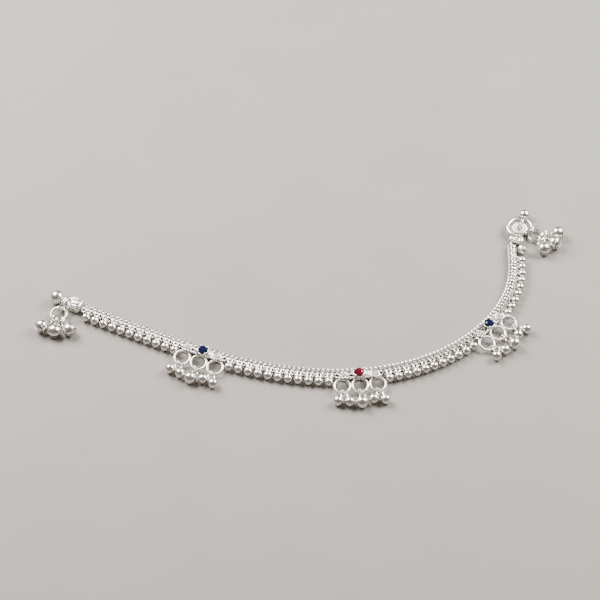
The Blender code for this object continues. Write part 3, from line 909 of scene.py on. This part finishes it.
@dataclass
class Motif(Assembly):
    """A soldered frame of three rings with its rosettes and set stone, and what hangs on it."""

    number: int
    place: Matrix
    glass: StoneFinish
    glass_slot: str
    ridge_top: float = 3.8 * MM
    ring_outer: float = 7.9 * MM
    ring_wire: float = 1.15 * MM
    ring_lap: float = 0.2 * MM
    ring_gap: float = 0.2 * MM
    ring_tilt: float = math.radians(12)
    ring_height: float = 2.4 * MM
    hanger: float = 3.0 * MM
    hanger_wire: float = 0.8 * MM
    hanger_outward: float = 2.35 * MM
    hanger_height: float = 3.2 * MM
    hanger_lean: float = math.radians(-20)
    foot: float = 1.8 * MM
    strip_width: float = 1.0 * MM
    strip_height: float = 1.1 * MM
    strip_bottom: float = 3.4 * MM
    grain_pitch: float = 0.95 * MM
    bar: float = 0.9 * MM
    bar_places: tuple[float, ...] = (3.1 * MM, 4.15 * MM)
    bar_inset: float = 1.7 * MM
    rosette: float = 4.4 * MM
    rosette_aside: float = 6.8 * MM
    rosette_inset: float = 0.2 * MM
    stone: float = 4.6 * MM
    stone_inset: float = 0.9 * MM
    table: float = 2.5 * MM
    crown: float = 1.0 * MM
    girdle: float = 0.25 * MM
    pavilion: float = 0.9 * MM
    culet: float = 0.6 * MM
    seat_clearance: float = 0.05 * MM
    cup_floor: float = 0.3 * MM
    cup_wall: float = 0.3 * MM
    cup_base: float = 3.0 * MM
    prong: float = 0.9 * MM
    prong_head: float = 1.1 * MM
    small_ring: float = 3.9 * MM
    small_wire: float = 0.7 * MM
    small_turn: float = math.radians(20)
    small_swing: float = math.radians(20)
    long_eye: float = 0.4 * MM
    small_offset: float = 0.3 * MM
    drop: float = 4.5 * MM
    middle_drop: float = 5.4 * MM
    drop_spread: float = 2.5 * MM
    eye_outer: float = 3.0 * MM
    eye_stagger: float = 0.46 * MM

    def spacing(self) -> float:
        """From one ring's middle to the next."""
        return self.ring_outer - self.ring_lap

    def ring_reach(self) -> float:
        """How far the rings' wires are outward of their middles, seen from above."""
        return (self.ring_outer - self.ring_wire) / 2 * math.cos(self.ring_tilt)

    def ring_outward(self) -> float:
        """How far the rings' middles are from the ridge line."""
        return BAND_HALF + self.ring_gap + self.ring_wire / 2 + self.ring_reach()

    def setting_bottom(self) -> float:
        """The height of the setting's and the rosettes' undersides."""
        return self.ridge_top + CLEARANCE

    def stone_seat(self) -> Matrix:
        """The place of the stone's culet in the motif."""
        height = self.setting_bottom() + self.cup_floor + 2 * self.seat_clearance
        return at(0, self.stone_inset - BAND_HALF, height)

    def build(self) -> None:
        """Make the frame, the stone, the small rings and the drops."""
        name = f"motif_{self.number}"
        metal = self.frame_shape().moved(self.place)
        hand_over(f"{name}_frame", metal, [self.palette.cast, self.palette.ground], name)
        gem = moved(self.cut_stone(), self.place @ self.stone_seat())
        stone = hand_over(
            f"cut_stone_{self.number}", gem, [self.glass.material()], f"stone_{self.number}",
            slot=self.glass_slot, sharp=1.0,
        )
        self.glass.paint_facet_glints(stone)
        for i, side in enumerate((-1, 0, 1), start=1):
            place = self.place @ self.small_ring_place(side, self.small_swing)
            ring = moved(wire_ring(self.small_ring, self.small_wire, 28, 10), place)
            hand_over(f"{name}_link_{i}", ring, [self.palette.wire], f"{name}_ring_{i}")
        self.build_drops(name)

    def frame_shape(self) -> Casting:
        """Solder the rings, their eyes on the weave, the strip, rosettes and setting.

        Returns:
            The frame, about the motif's middle.
        """
        made = Casting()
        ring = wire_ring(self.ring_outer, self.ring_wire, 40, 12)
        hanger = wire_ring(self.hanger, self.hanger_wire, 20, 8)
        for side in (-1, 0, 1):
            x = side * self.spacing()
            tilt = about("X", self.ring_tilt)
            made.add(ring, at(x, -self.ring_outward(), self.ring_height) @ tilt)
            lean = about("X", self.hanger_lean)
            made.add(hanger, at(x, -self.hanger_outward, self.hanger_height) @ lean)
        self.add_strip(made)
        inward = self.rosette_inset - BAND_HALF
        for side, kind in ((-1, RosetteKind.GRANULES), (1, RosetteKind.SWIRL)):
            spot = at(side * self.rosette_aside, inward, self.setting_bottom())
            made.add(Rosette(self.rosette, kind).shape().metal, spot)
        made.add(self.setting().metal, self.stone_seat())
        # The foot under the setting takes the dark second finish: painted shade under the stone.
        under = self.stone_seat().translation
        bottom = Vector((under.x, under.y, self.hanger_height - self.hanger_wire))
        made.add(rod(self.foot, bottom, under), finish=1)
        return made

    def add_strip(self, made: Casting) -> None:
        """Add the strip on the rings, its row of arches, and the bars beside the stone.

        Args:
            made: The casting that they go on.
        """
        outward = BAND_HALF + CLEARANCE + self.strip_width / 2
        length = 2 * (self.rosette_aside + self.rosette / 4)
        middle = self.strip_bottom + self.strip_height / 2
        core = soft_block((length, self.strip_width * 0.7, self.strip_height * 0.6), 0.2 * MM)
        made.add(core, at(0, -outward, middle))
        count = int(length / self.grain_pitch)
        steps = ((i - (count - 1) / 2) * length / count for i in range(count))
        grain = granule(self.strip_width * 1.2, (0.9, 1, 1))
        made.add(grain, *(at(x, -outward, middle) for x in steps))
        top = self.strip_bottom + self.strip_height
        for x in self.bar_places:
            start = Vector((x, -BAND_HALF - CLEARANCE, top))
            end = Vector((x, -BAND_HALF + self.bar_inset, top))
            made.add(rod(self.bar, start, end))
            made.add(granule(self.bar), Matrix.Translation(end))

    def setting(self) -> Casting:
        """Solder the cup, its flange and the four prongs, about the stone's culet.

        Returns:
            The setting.
        """
        made = Casting()
        rim = self.stone / 2 + self.seat_clearance
        outside = rim + self.cup_wall
        floor = -self.seat_clearance
        base = floor - self.cup_floor
        cup = (
            (0, base), (self.cup_base / 2, base), (outside, self.pavilion),
            (rim, self.pavilion), (self.culet, floor), (0, floor),
        )
        made.add(turned(cup, 32))
        flange = wire_ring(2 * outside, 0.4 * MM, 36, 8)
        made.add(flange, at(0, 0, self.pavilion - 0.1 * MM))
        for quarter in range(4):
            turn = about("Z", (quarter + 0.5) * QUARTER)
            foot = turn @ Vector((outside, 0, 0.3 * MM))
            head = turn @ Vector((rim + 0.15 * MM, 0, self.pavilion + self.girdle))
            made.add(rod(self.prong, foot, head))
            made.add(granule(self.prong_head, (1, 1, 0.85)), Matrix.Translation(head))
        return made

    def cut_stone(self) -> BMesh:
        """Cut the round stone: a table, star and kite facets, a girdle and a pavilion.

        Returns:
            The stone, its culet's middle at the origin.
        """
        gem = bmesh.new()
        top = self.pavilion + self.girdle + self.crown
        levels = (
            (self.table / 2, top, 8, 0.0),
            (self.stone * 0.395, top - self.crown * 0.42, 8, math.pi / 8),
            (self.stone / 2, self.pavilion + self.girdle, 16, 0.0),
            (self.stone / 2, self.pavilion, 16, 0.0),
            (self.culet / 2, 0.0, 8, 0.0),
        )
        for radius, height, count, start in levels:
            place = at(0, 0, height) @ about("Z", start)
            bmesh.ops.create_circle(gem, segments=count, radius=radius, matrix=place)
        bmesh.ops.delete(gem, geom=gem.edges[:], context="EDGES_FACES")
        bmesh.ops.convex_hull(gem, input=gem.verts[:])
        # The hull comes in triangles, and each flat facet becomes one face again.
        bmesh.ops.dissolve_limit(
            gem, angle_limit=math.radians(2), verts=gem.verts[:], edges=gem.edges[:]
        )
        return gem

    def small_ring_place(self, side: int, swing: float = 0.0) -> Matrix:
        """Give the place of a small ring, upright around a ring's outer side.

        Args:
            side: Which ring: -1, 0 or 1.
            swing: How far it has swung further about its middle.

        Returns:
            Its place in the motif.
        """
        outward = self.ring_outward() + self.ring_reach() + self.small_offset
        spot = at(side * self.spacing(), -outward, self.small_ring / 2)
        return spot @ about("Z", self.small_turn + swing) @ FACING_X

    def drop_place(self, side: int, aside: float, drop: EyedBall) -> Matrix:
        """Give the place where a drop's eye holds the small ring's wire.

        Args:
            side: Which ring it hangs from.
            aside: How far its middle is to the side of that ring's middle.
            drop: The drop.

        Returns:
            Its place in the motif.
        """
        hold = drop.hold(self.small_wire)
        reach = (self.small_ring - self.small_wire) / 2
        height = drop.diameter / 2 + drop.lift - self.small_ring / 2
        across = math.sqrt(reach**2 - height**2)
        away = about("Z", self.small_turn) @ Vector((0, -across, height))
        wire = self.small_ring_place(side).translation + away
        spread = aside - (wire.x - side * self.spacing())
        outward = math.sqrt(hold**2 - spread**2)
        spot = at(wire.x + spread, wire.y - outward, drop.diameter / 2)
        return spot @ about("Z", math.atan2(spread, outward))

    def build_drops(self, name: str) -> None:
        """Make the five ball drops.

        Args:
            name: The motif's name.
        """
        left, right = (-self.drop_spread, self.drop, 1), (self.drop_spread, self.drop, -1)
        middle = (0.0, self.middle_drop, 0)
        rows = ((-1, left), (-1, right), (0, middle), (1, left), (1, right))
        for i, (side, (aside, diameter, level)) in enumerate(rows, start=1):
            lift = (self.small_ring - diameter) / 2 + level * self.eye_stagger
            place = self.drop_place(side, aside, EyedBall(diameter, self.eye_outer, lift))
            # A drop that the small ring has swung away from hangs on a longer eye.
            eye_outer = self.eye_outer + (self.long_eye if aside < 0 else 0.0)
            drop = EyedBall(diameter, eye_outer, lift).soldered(ball(diameter, 28, 18))
            metal = drop.moved(self.place @ place)
            hand_over(f"{name}_ball_{i}", metal, [self.palette.ball], f"{name}_drop_{i}")


@dataclass
class Rosette:
    """A round flower of wire and grains on a low disc, bottom at z = 0."""

    diameter: float
    kind: RosetteKind
    thickness: float = 0.6 * MM

    def shape(self) -> Casting:
        """Work the rosette's face.

        Returns:
            The rosette.
        """
        made = Casting()
        radius = self.diameter / 2
        top = self.thickness
        flower = self.kind is RosetteKind.GRANULES
        edge = radius * (0.78 if flower else 0.95)
        disc = ((0, 0), (edge * 0.9, 0), (edge, top / 2), (edge * 0.85, top), (0, top))
        # The disc takes the dark second finish: painted shade between the petals and grains.
        made.add(turned(disc, 32), finish=1)
        if flower:
            petal = granule(radius * 0.62, (1, 1, 0.75))
            made.add(petal, *around_z(radius * 0.66, 6, top * 0.9))
        else:
            made.add(wire_ring(self.diameter * 0.98, 0.5 * MM, 32, 7), at(0, 0, top))
            petal, twist = granule(radius * 0.52, (1, 0.5, 0.5)), about("Z", math.radians(52))
            made.add(petal, *(spot @ twist for spot in around_z(radius * 0.52, 9, top)))
        made.add(granule(radius * 0.5, (1, 1, 0.9)), at(0, 0, top * 1.1))
        return made


@dataclass
class EndBells(Assembly):
    """A jump ring with three double-wound links, each with a slotted bell."""

    side: Side
    end: Matrix
    jump: Matrix
    heading: float
    link_outer: float = 4.3 * MM
    bell: float = 6.0 * MM
    bell_eye: float = 3.1 * MM
    spread: float = math.radians(37)
    seam_offset: float = 1.15 * MM
    seam_wire: float = 0.5 * MM
    mouth: float = math.radians(50)
    wall: float = 0.35 * MM

    def build(self) -> None:
        """Make the jump ring, the links and the bells."""
        name = self.side.value
        ring = moved(wire_ring(JUMP_OUTER, JUMP_WIRE, 48, 14), self.end @ self.jump)
        hand_over(f"{name}_hoop", ring, [self.palette.wire], f"{name}_jump_ring")
        free = self.link_outer / 2 - LINK_WIRE - JUMP_WIRE / 2 - CLEARANCE / 2
        bell = EyedBall(self.bell, self.bell_eye, (self.link_outer - self.bell) / 2)
        out = (self.link_outer - LINK_WIRE) / 2 + bell.hold(LINK_WIRE)
        for i, step in enumerate((-1, 0, 1), start=1):
            angle = self.heading + step * self.spread
            away = Vector((math.cos(angle), math.sin(angle), 0))
            wire = self.jump @ (away * JUMP_REACH)
            rise = self.link_outer / 2 - wire.z
            shift = math.sqrt(max(free**2 - rise**2, 0))
            middle = Vector((wire.x, wire.y, self.link_outer / 2)) + away * shift
            turn = about("Z", angle + QUARTER)
            place = self.end @ Matrix.Translation(middle) @ (turn @ FACING_X)
            link = self.wound_link().moved(place)
            hand_over(f"{name}_wound_link_{i}", link, [self.palette.wire], f"{name}_link_{i}")
            spot = Vector((middle.x, middle.y, self.bell / 2)) + away * out
            metal = self.bell_shape(bell).moved(self.end @ Matrix.Translation(spot) @ turn)
            finishes = [self.palette.ball, self.palette.ground]
            hand_over(f"{name}_round_bell_{i}", metal, finishes, f"{name}_bell_{i}")

    def wound_link(self) -> Casting:
        """Wind a link of two turns of fine wire.

        Returns:
            The link.
        """
        made = Casting()
        wire = LINK_WIRE * 0.75
        turn = wire_ring(self.link_outer, wire, 28, 8)
        made.add(turn, *(at(0, 0, side * wire * 0.52) for side in (-1, 1)))
        return made

    def bell_shape(self, bell: EyedBall) -> Casting:
        """Make a bell: its slit shell, its eye, the raised seam and a thin dark line of painted
        shade beside it.

        Args:
            bell: The bell's ball and eye.

        Returns:
            The bell, about its middle.
        """
        made = bell.soldered(slit_ball(self.bell, self.mouth, self.wall))
        # The second, lower line beside the seam takes the dark second finish: painted shade in the
        # crease along the seam.
        lines = ((self.seam_offset, 1.0, 0), (self.seam_offset + self.seam_wire, 0.3, 1))
        for offset, stands, finish in lines:
            radius = math.sqrt((self.bell / 2) ** 2 - offset**2)
            line = wire_ring(2 * radius + stands * self.seam_wire, self.seam_wire, 40, 8)
            made.add(line, at(0, -offset, 0) @ FACING_Y, finish=finish)
        return made


@dataclass
class ShellCap(Assembly):
    """The ribbed shell over the band's left end, with the catch loop and its ball."""

    start: Matrix
    length: float = 6.2 * MM
    inner_width: float = 6.2 * MM
    outer_width: float = 7.0 * MM
    height: float = 4.7 * MM
    rim_wire: float = 1.1 * MM
    ribs: int = 7
    groove_depth: float = 0.55 * MM
    groove_curl: float = 0.22
    shaded_groove_share: float = 0.30
    shaded_groove_end: float = 0.85
    softness: float = 0.62
    catch_outer: float = 9.0 * MM
    catch_wire: float = 1.5 * MM
    catch_aside: float = 3.0 * MM
    standoff: float = 1.0 * MM
    lean: float = math.radians(18)
    ball: float = 6.4 * MM
    ball_post: float = 0.6 * MM
    ball_turn: float = math.radians(44)
    collar: float = 2.4 * MM
    collar_height: float = 2.7 * MM
    collar_lap: float = 1.3 * MM
    jump_tilt: float = math.radians(17)
    jump_aside: float = 1.8 * MM

    def catch_reach(self) -> float:
        """From the catch loop's middle to its wire's."""
        return (self.catch_outer - self.catch_wire) / 2

    def catch_frame(self) -> Matrix:
        """Give the catch loop's place.

        Returns:
            The place, X along the leaning loop's normal and Z up its side.
        """
        height = self.catch_reach() * math.cos(self.lean) + self.catch_wire / 2
        along = -(CLEARANCE + self.length + self.standoff)
        return at(along, -self.catch_aside, height) @ about("Y", self.lean)

    def build(self) -> None:
        """Make the cap with its loop, and the ball."""
        cap = Casting()
        self.add_shell(cap)
        self.add_loop(cap)
        finishes = [self.palette.cast, self.palette.ground]
        hand_over("shell_cap", cap.moved(self.start), finishes, "end_cap")
        knob = moved(ball(self.ball, 32, 20), self.start @ Matrix.Translation(self.ball_middle()))
        hand_over("catch_ball", knob, [self.palette.ball], "end_cap")

    def add_shell(self, cap: Casting) -> None:
        """Add the ribbed pillow and its two rims.

        Args:
            cap: The casting that they go on.
        """
        cap.add(self.pillow(), at(-CLEARANCE - self.length / 2, 0, self.height / 2))
        rims = ((-1.0 * MM, self.inner_width), (-6.0 * MM, self.outer_width - 0.3 * MM))
        for x, width in rims:
            squash = Matrix.Diagonal((self.height * 0.93 / width, 1, 1, 1))
            rim = wire_ring(width, self.rim_wire, 40, 10)
            cap.add(rim, at(x, 0, self.height * 0.47) @ FACING_X @ squash)

    def off_groove(self, spot: Vector) -> float:
        """How far a spot on the unit ball is from a groove: 0 in it, 1 on a rib."""
        around = math.atan2(spot.z, spot.y)
        return abs(math.sin((around + self.groove_curl * spot.x) * self.ribs))

    def pillow(self) -> BMesh:
        """Swell a pillow about the origin, with grooves that curve from end to end.

        Returns:
            The pillow.
        """
        shape = moved(ball(2.0, 144, 36), FACING_X)
        for face in shape.faces:
            spot = face.calc_center_median()
            # Faces in the grooves, short of the ends, take the dark second finish: painted shade in
            # the grooves.
            in_shaded_groove = self.off_groove(spot) < self.shaded_groove_share
            face.material_index = int(in_shaded_groove and abs(spot.x) < self.shaded_groove_end)
        half = self.length / 2 + 0.1 * MM
        for vert in shape.verts:
            along = max(min(vert.co.x, 1.0), -1.0)
            around = math.atan2(vert.co.z, vert.co.y)
            reach = (1 - along**2) ** (self.softness / 2)
            depth = self.groove_depth * reach**2 * (1 - self.off_groove(vert.co)) ** 3
            width = (self.inner_width + self.outer_width) / 4
            width += along * (self.inner_width - self.outer_width) / 4
            square_x, square_y, square_z = (
                math.copysign(abs(share) ** self.softness, share)
                for share in (along, math.cos(around), math.sin(around))
            )
            vert.co.x = half * square_x
            vert.co.y = square_y * (width * reach - depth)
            vert.co.z = square_z * (self.height / 2 * reach - depth)
        return shape

    def add_loop(self, cap: Casting) -> None:
        """Add the catch loop's two wires, its collar and the ball's post.

        Args:
            cap: The casting that they go on.
        """
        catch = self.catch_frame()
        wire = self.catch_wire * 0.6
        turn = wire_ring(self.catch_outer - wire, wire, 44, 10)
        cap.add(turn, *(catch @ at(side * wire * 0.54, 0, 0) @ FACING_X for side in (-1, 1)))
        near = catch @ Vector((0, self.catch_reach(), 0))
        along = self.collar_lap - CLEARANCE - self.length
        cap.add(rod(self.collar, Vector((along, near.y, self.collar_height)), near))
        cap.add(rod(self.collar, self.ball_middle(), catch @ self.hang()))

    def hang(self) -> Vector:
        """The point of the loop where the ball is soldered, in the loop's frame."""
        return Vector((0, math.cos(self.ball_turn), -math.sin(self.ball_turn))) * self.catch_reach()

    def ball_middle(self) -> Vector:
        """Give the middle of the ball, which rests on the surface beyond the loop.

        Returns:
            The middle.
        """
        hold = (self.ball + self.catch_wire) / 2 + self.ball_post
        middle = self.catch_frame() @ (self.hang() - Vector((hold, 0, 0)))
        return Vector((middle.x, middle.y, self.ball / 2))

    def jump_frame(self) -> Matrix:
        """Give the left jump ring's place, from the catch loop to the links.

        Returns:
            The place.
        """
        low = LINK_WIRE + CLEARANCE / 2 + JUMP_WIRE / 2
        across = self.catch_aside + self.jump_aside + JUMP_REACH * math.cos(self.jump_tilt)
        height = low + JUMP_REACH * math.sin(self.jump_tilt)
        return at(self.catch_frame().translation.x, -across, height) @ about("X", self.jump_tilt)


@dataclass
class HookClasp(Assembly):
    """The crown connector, the round rosette, and the C hook with its ball and eyelet."""

    place: Matrix
    crown_length: float = 6.0 * MM
    crown_width: float = 4.4 * MM
    crown_height: float = 3.6 * MM
    scroll_along: float = 2.9 * MM
    lap: float = 0.4 * MM
    disc: float = 7.0 * MM
    disc_bottom: float = 2.6 * MM
    disc_thickness: float = 1.4 * MM
    hook_outer: float = 13.0 * MM
    hook_wire: float = 2.0 * MM
    hook_height: float = 3.1 * MM
    hook_tip: float = math.radians(-94)
    hook_root: float = math.radians(172)
    beyond_disc: float = 1.1 * MM
    knob: float = 5.0 * MM
    post: float = 1.6 * MM
    eyelet: float = 2.6 * MM
    eyelet_wire: float = 0.6 * MM
    eyelet_height: float = 1.35 * MM
    lug: float = 1.6 * MM
    # Corner lobes of the crown in millimetres: along it, to the side, diameter.
    corners: tuple[tuple[float, ...], ...] = ((1.0, 1.5, 1.9), (4.7, 1.9, 2.1))
    # Rows of grains across the crown: millimetres along it, count, spacing in millimetres.
    grain_rows: tuple[tuple[float, int, float], ...] = (
        (0.6, 4, 0.95), (1.6, 3, 0.95), (4.5, 5, 0.95), (5.4, 4, 1.0)
    )

    def disc_along(self) -> float:
        """How far along the clasp the rosette's middle is."""
        return self.crown_length - self.lap * 2 + self.disc / 2

    def hook_middle(self) -> Vector:
        """The middle of the hook's bend, around the rosette."""
        return Vector((self.disc_along() + self.beyond_disc, 0, self.hook_height))

    def eyelet_middle(self) -> Vector:
        """The middle of the eyelet on the rosette's outer side."""
        outward = (self.disc + self.eyelet) / 2 - self.lap
        return Vector((self.disc_along(), -outward, self.eyelet_height))

    def jump_frame(self) -> Matrix:
        """The right jump ring's place: it lies flat through the eyelet."""
        return Matrix.Translation(self.eyelet_middle() - Vector((0, JUMP_REACH, 0)))

    def build(self) -> None:
        """Make the crown, the rosette, the hook and the ball."""
        worked = [self.palette.cast, self.palette.ground]
        castings = (
            ("crown", self.crown(), worked),
            ("rosette", self.rosette(), worked),
            ("c_hook", self.hook(), [self.palette.wire]),
            ("ball", self.end_ball(), [self.palette.ball]),
        )
        for name, casting, finishes in castings:
            hand_over(f"clasp_{name}", casting.moved(self.place), finishes, "clasp_hook")

    def end_ball(self) -> Casting:
        """Give the ball on the hook's far side.

        Returns:
            The ball.
        """
        made = Casting()
        beyond = (self.hook_outer + self.knob) / 2 - self.lap
        made.add(ball(self.knob, 32, 20), at(self.hook_middle().x + beyond, 0, self.knob / 2))
        return made

    def crown(self) -> Casting:
        """Cast the crown: a rounded body with side lobes, scrolls and rows of grains.

        Returns:
            The crown.
        """
        made = Casting()
        height = self.crown_height - 0.6 * MM
        # The body under the lobes and grains takes the dark second finish: painted shade between
        # them.
        body = soft_block((self.crown_length, self.crown_width, height), 1.0 * MM)
        made.add(body, at(self.crown_length / 2, 0, height / 2 + 0.05 * MM), finish=1)
        top = self.crown_height - 0.45 * MM
        grain = granule(0.9 * MM)
        for side in (-1, 1):
            lobe = granule(2.9 * MM, (1, 1, 1.05))
            made.add(lobe, at(self.scroll_along, side * 2.05 * MM, 1.7 * MM))
            scroll = at(self.scroll_along, side * 1.95 * MM, top - 0.3 * MM)
            made.add(wire_ring(2.5 * MM, 0.6 * MM, 24, 7), scroll)
            made.add(grain, scroll)
            for along, aside, size in self.corners:
                made.add(granule(size * MM), at(along * MM, side * aside * MM, 1.5 * MM))
        for along, count, gap in self.grain_rows:
            across = ((i - (count - 1) / 2) * gap * MM for i in range(count))
            made.add(grain, *(at(along * MM, y, top) for y in across))
        made.add(granule(1.5 * MM), at(self.crown_length / 2, 0, top - 0.15 * MM))
        return made

    def rosette(self) -> Casting:
        """Work the clasp's rosette: two wire circles, swirling petals and a grain flower.

        Returns:
            The rosette.
        """
        made = Casting()
        radius = self.disc / 2
        bottom, top = self.disc_bottom, self.disc_bottom + self.disc_thickness
        disc = (
            (0, bottom), (radius * 0.9, bottom), (radius, (bottom + top) / 2),
            (radius * 0.85, top), (0, top + 0.2 * MM),
        )
        # The disc takes the dark second finish: painted shade between the petals and grains.
        made.add(turned(disc, 48), finish=1)
        made.add(wire_ring(self.disc * 0.97, 0.65 * MM, 48, 8), at(0, 0, top))
        made.add(wire_ring(self.disc * 0.6, 0.5 * MM, 40, 8), at(0, 0, top + 0.2 * MM))
        swirl, twist = granule(1.5 * MM, (1, 0.42, 0.4)), about("Z", math.radians(50))
        ring = around_z(radius * 0.74, 14, top + 0.1 * MM)
        made.add(swirl, *(spot @ twist for spot in ring))
        made.add(granule(0.75 * MM), *around_z(radius * 0.32, 7, top + 0.3 * MM))
        made.add(granule(1.1 * MM), at(0, 0, top + 0.4 * MM))
        petal = granule(1.4 * MM, (1, 0.75, 0.6))
        made.add(petal, *around_z(radius * 0.93, 14, bottom + 0.45 * MM, start=0.2))
        made.moved(at(self.disc_along(), 0, 0))
        return made

    def hook(self) -> Casting:
        """Bend the hook, and solder its post, eyelet and lug.

        Returns:
            The hook.
        """
        made = Casting()
        middle = self.hook_middle()
        reach = (self.hook_outer - self.hook_wire) / 2
        bend = bent_wire(reach, self.hook_wire, self.hook_tip, self.hook_root, 48)
        made.add(bend, Matrix.Translation(middle))
        centre = Vector((self.disc_along(), 0, self.disc_bottom + self.disc_thickness / 2))
        far_wire = middle + Vector((reach, 0, 0))
        made.add(rod(self.post, centre, far_wire))
        collar = far_wire + Vector((self.hook_wire / 2, 0, -0.2 * MM))
        made.add(granule(2.2 * MM, (0.8, 1, 0.8)), Matrix.Translation(collar))
        eyelet = self.eyelet_middle()
        loop = wire_ring(self.eyelet, self.eyelet_wire, 24, 8)
        made.add(loop, Matrix.Translation(eyelet) @ FACING_X)
        foot = eyelet + Vector((0, (self.eyelet - self.eyelet_wire) / 2, 0))
        head = Vector((eyelet.x, -self.disc / 2 + self.lug, centre.z))
        made.add(rod(self.lug, foot, head))
        return made


@dataclass
class Studio:
    """The pale floor, the soft lights and the camera at the photographed angle."""

    elevation: float = math.radians(50)
    distance: float = 1.110
    lens: float = 150.0
    sensor: float = 36.0
    aim: tuple[float, float, float] = (-1.75 * MM, 5.5 * MM, 0.0)
    floor_size: float = 6.0
    room_colour: str = "D8D6D4"
    room_strength: float = 0.36

    def build(self) -> None:
        """Set up the floor, the camera, and a light above each shoulder of the anklet."""
        self.lay_floor()
        self.set_camera()
        self.light_room()
        self.hang_light("key light", Vector((-0.42, 0.34, 0.55)), 0.50, 20.0)
        self.hang_light("side light", Vector((0.50, 0.24, 0.50)), 0.44, 14.0)

    def lay_floor(self) -> None:
        """Lay the floor at z = 0."""
        bm = bmesh.new()
        bmesh.ops.create_grid(bm, x_segments=1, y_segments=1, size=self.floor_size / 2)
        mesh = bpy.data.meshes.new("floor")
        bm.to_mesh(mesh)
        bm.free()
        mesh.materials.append(PaperFinish().material())
        stand("floor", mesh)

    def light_room(self) -> None:
        """Give the room an even, dim light."""
        world = bpy.data.worlds.new("studio room")
        world.use_nodes = True
        room = world.node_tree.nodes["Background"]
        room.inputs["Color"].default_value = linear_colour(self.room_colour)
        room.inputs["Strength"].default_value = self.room_strength
        bpy.context.scene.world = world

    def hang_light(self, name: str, spot: Vector, size: float, power: float) -> None:
        """Hang a square soft light that faces the anklet.

        Args:
            name: The light's name.
            spot: Where it hangs.
            size: Its side.
            power: Its power in watts.
        """
        light = bpy.data.lights.new(name, "AREA")
        light.shape = "SQUARE"
        light.size = size
        light.energy = power
        lamp = stand(name, light)
        lamp.location = spot
        lamp.rotation_euler = (-spot).to_track_quat("-Z", "Y").to_euler()

    def set_camera(self) -> None:
        """Stand the camera where the photograph was taken from."""
        view = bpy.data.cameras.new("camera")
        view.lens = self.lens
        view.sensor_width = self.sensor
        camera = stand("camera", view)
        back = Vector((0, -math.cos(self.elevation), math.sin(self.elevation)))
        camera.location = Vector(self.aim) + back * self.distance
        camera.rotation_euler = (-back).to_track_quat("-Z", "Y").to_euler()
        bpy.context.scene.camera = camera


def main() -> None:
    """Build the anklet over its frame, and light it."""
    logging.basicConfig(level=logging.INFO, format="%(name)s: %(message)s")
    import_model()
    palette = Palette.mixed()
    layout = BandLayout()
    WovenBand(palette, layout).build()
    BeadRow(palette, layout).build()
    blue = StoneFinish("blue glass stone", deep="000208", bright="0A1E54")
    red = StoneFinish("ruby glass stone", deep="1C0006", bright="8A0526")
    stones = ((blue, "blue_stone"), (red, "red_stone"), (blue, "blue_stone"))
    for number, (along, (glass, slot)) in enumerate(zip(layout.motifs, stones), start=1):
        Motif(palette, number, layout.frame(along), glass, slot).build()
    start = layout.frame(0.0)
    cap = ShellCap(palette, start)
    cap.build()
    EndBells(palette, Side.LEFT, start, cap.jump_frame(), LEFT_HEADING).build()
    clasp_place = layout.frame(layout.end) @ (at(*CLASP_SHIFT) @ about("Z", CLASP_TURN))
    clasp = HookClasp(palette, clasp_place)
    clasp.build()
    EndBells(palette, Side.RIGHT, clasp_place, clasp.jump_frame(), RIGHT_HEADING).build()
    Studio().build()


if __name__ == "__main__":
    main()
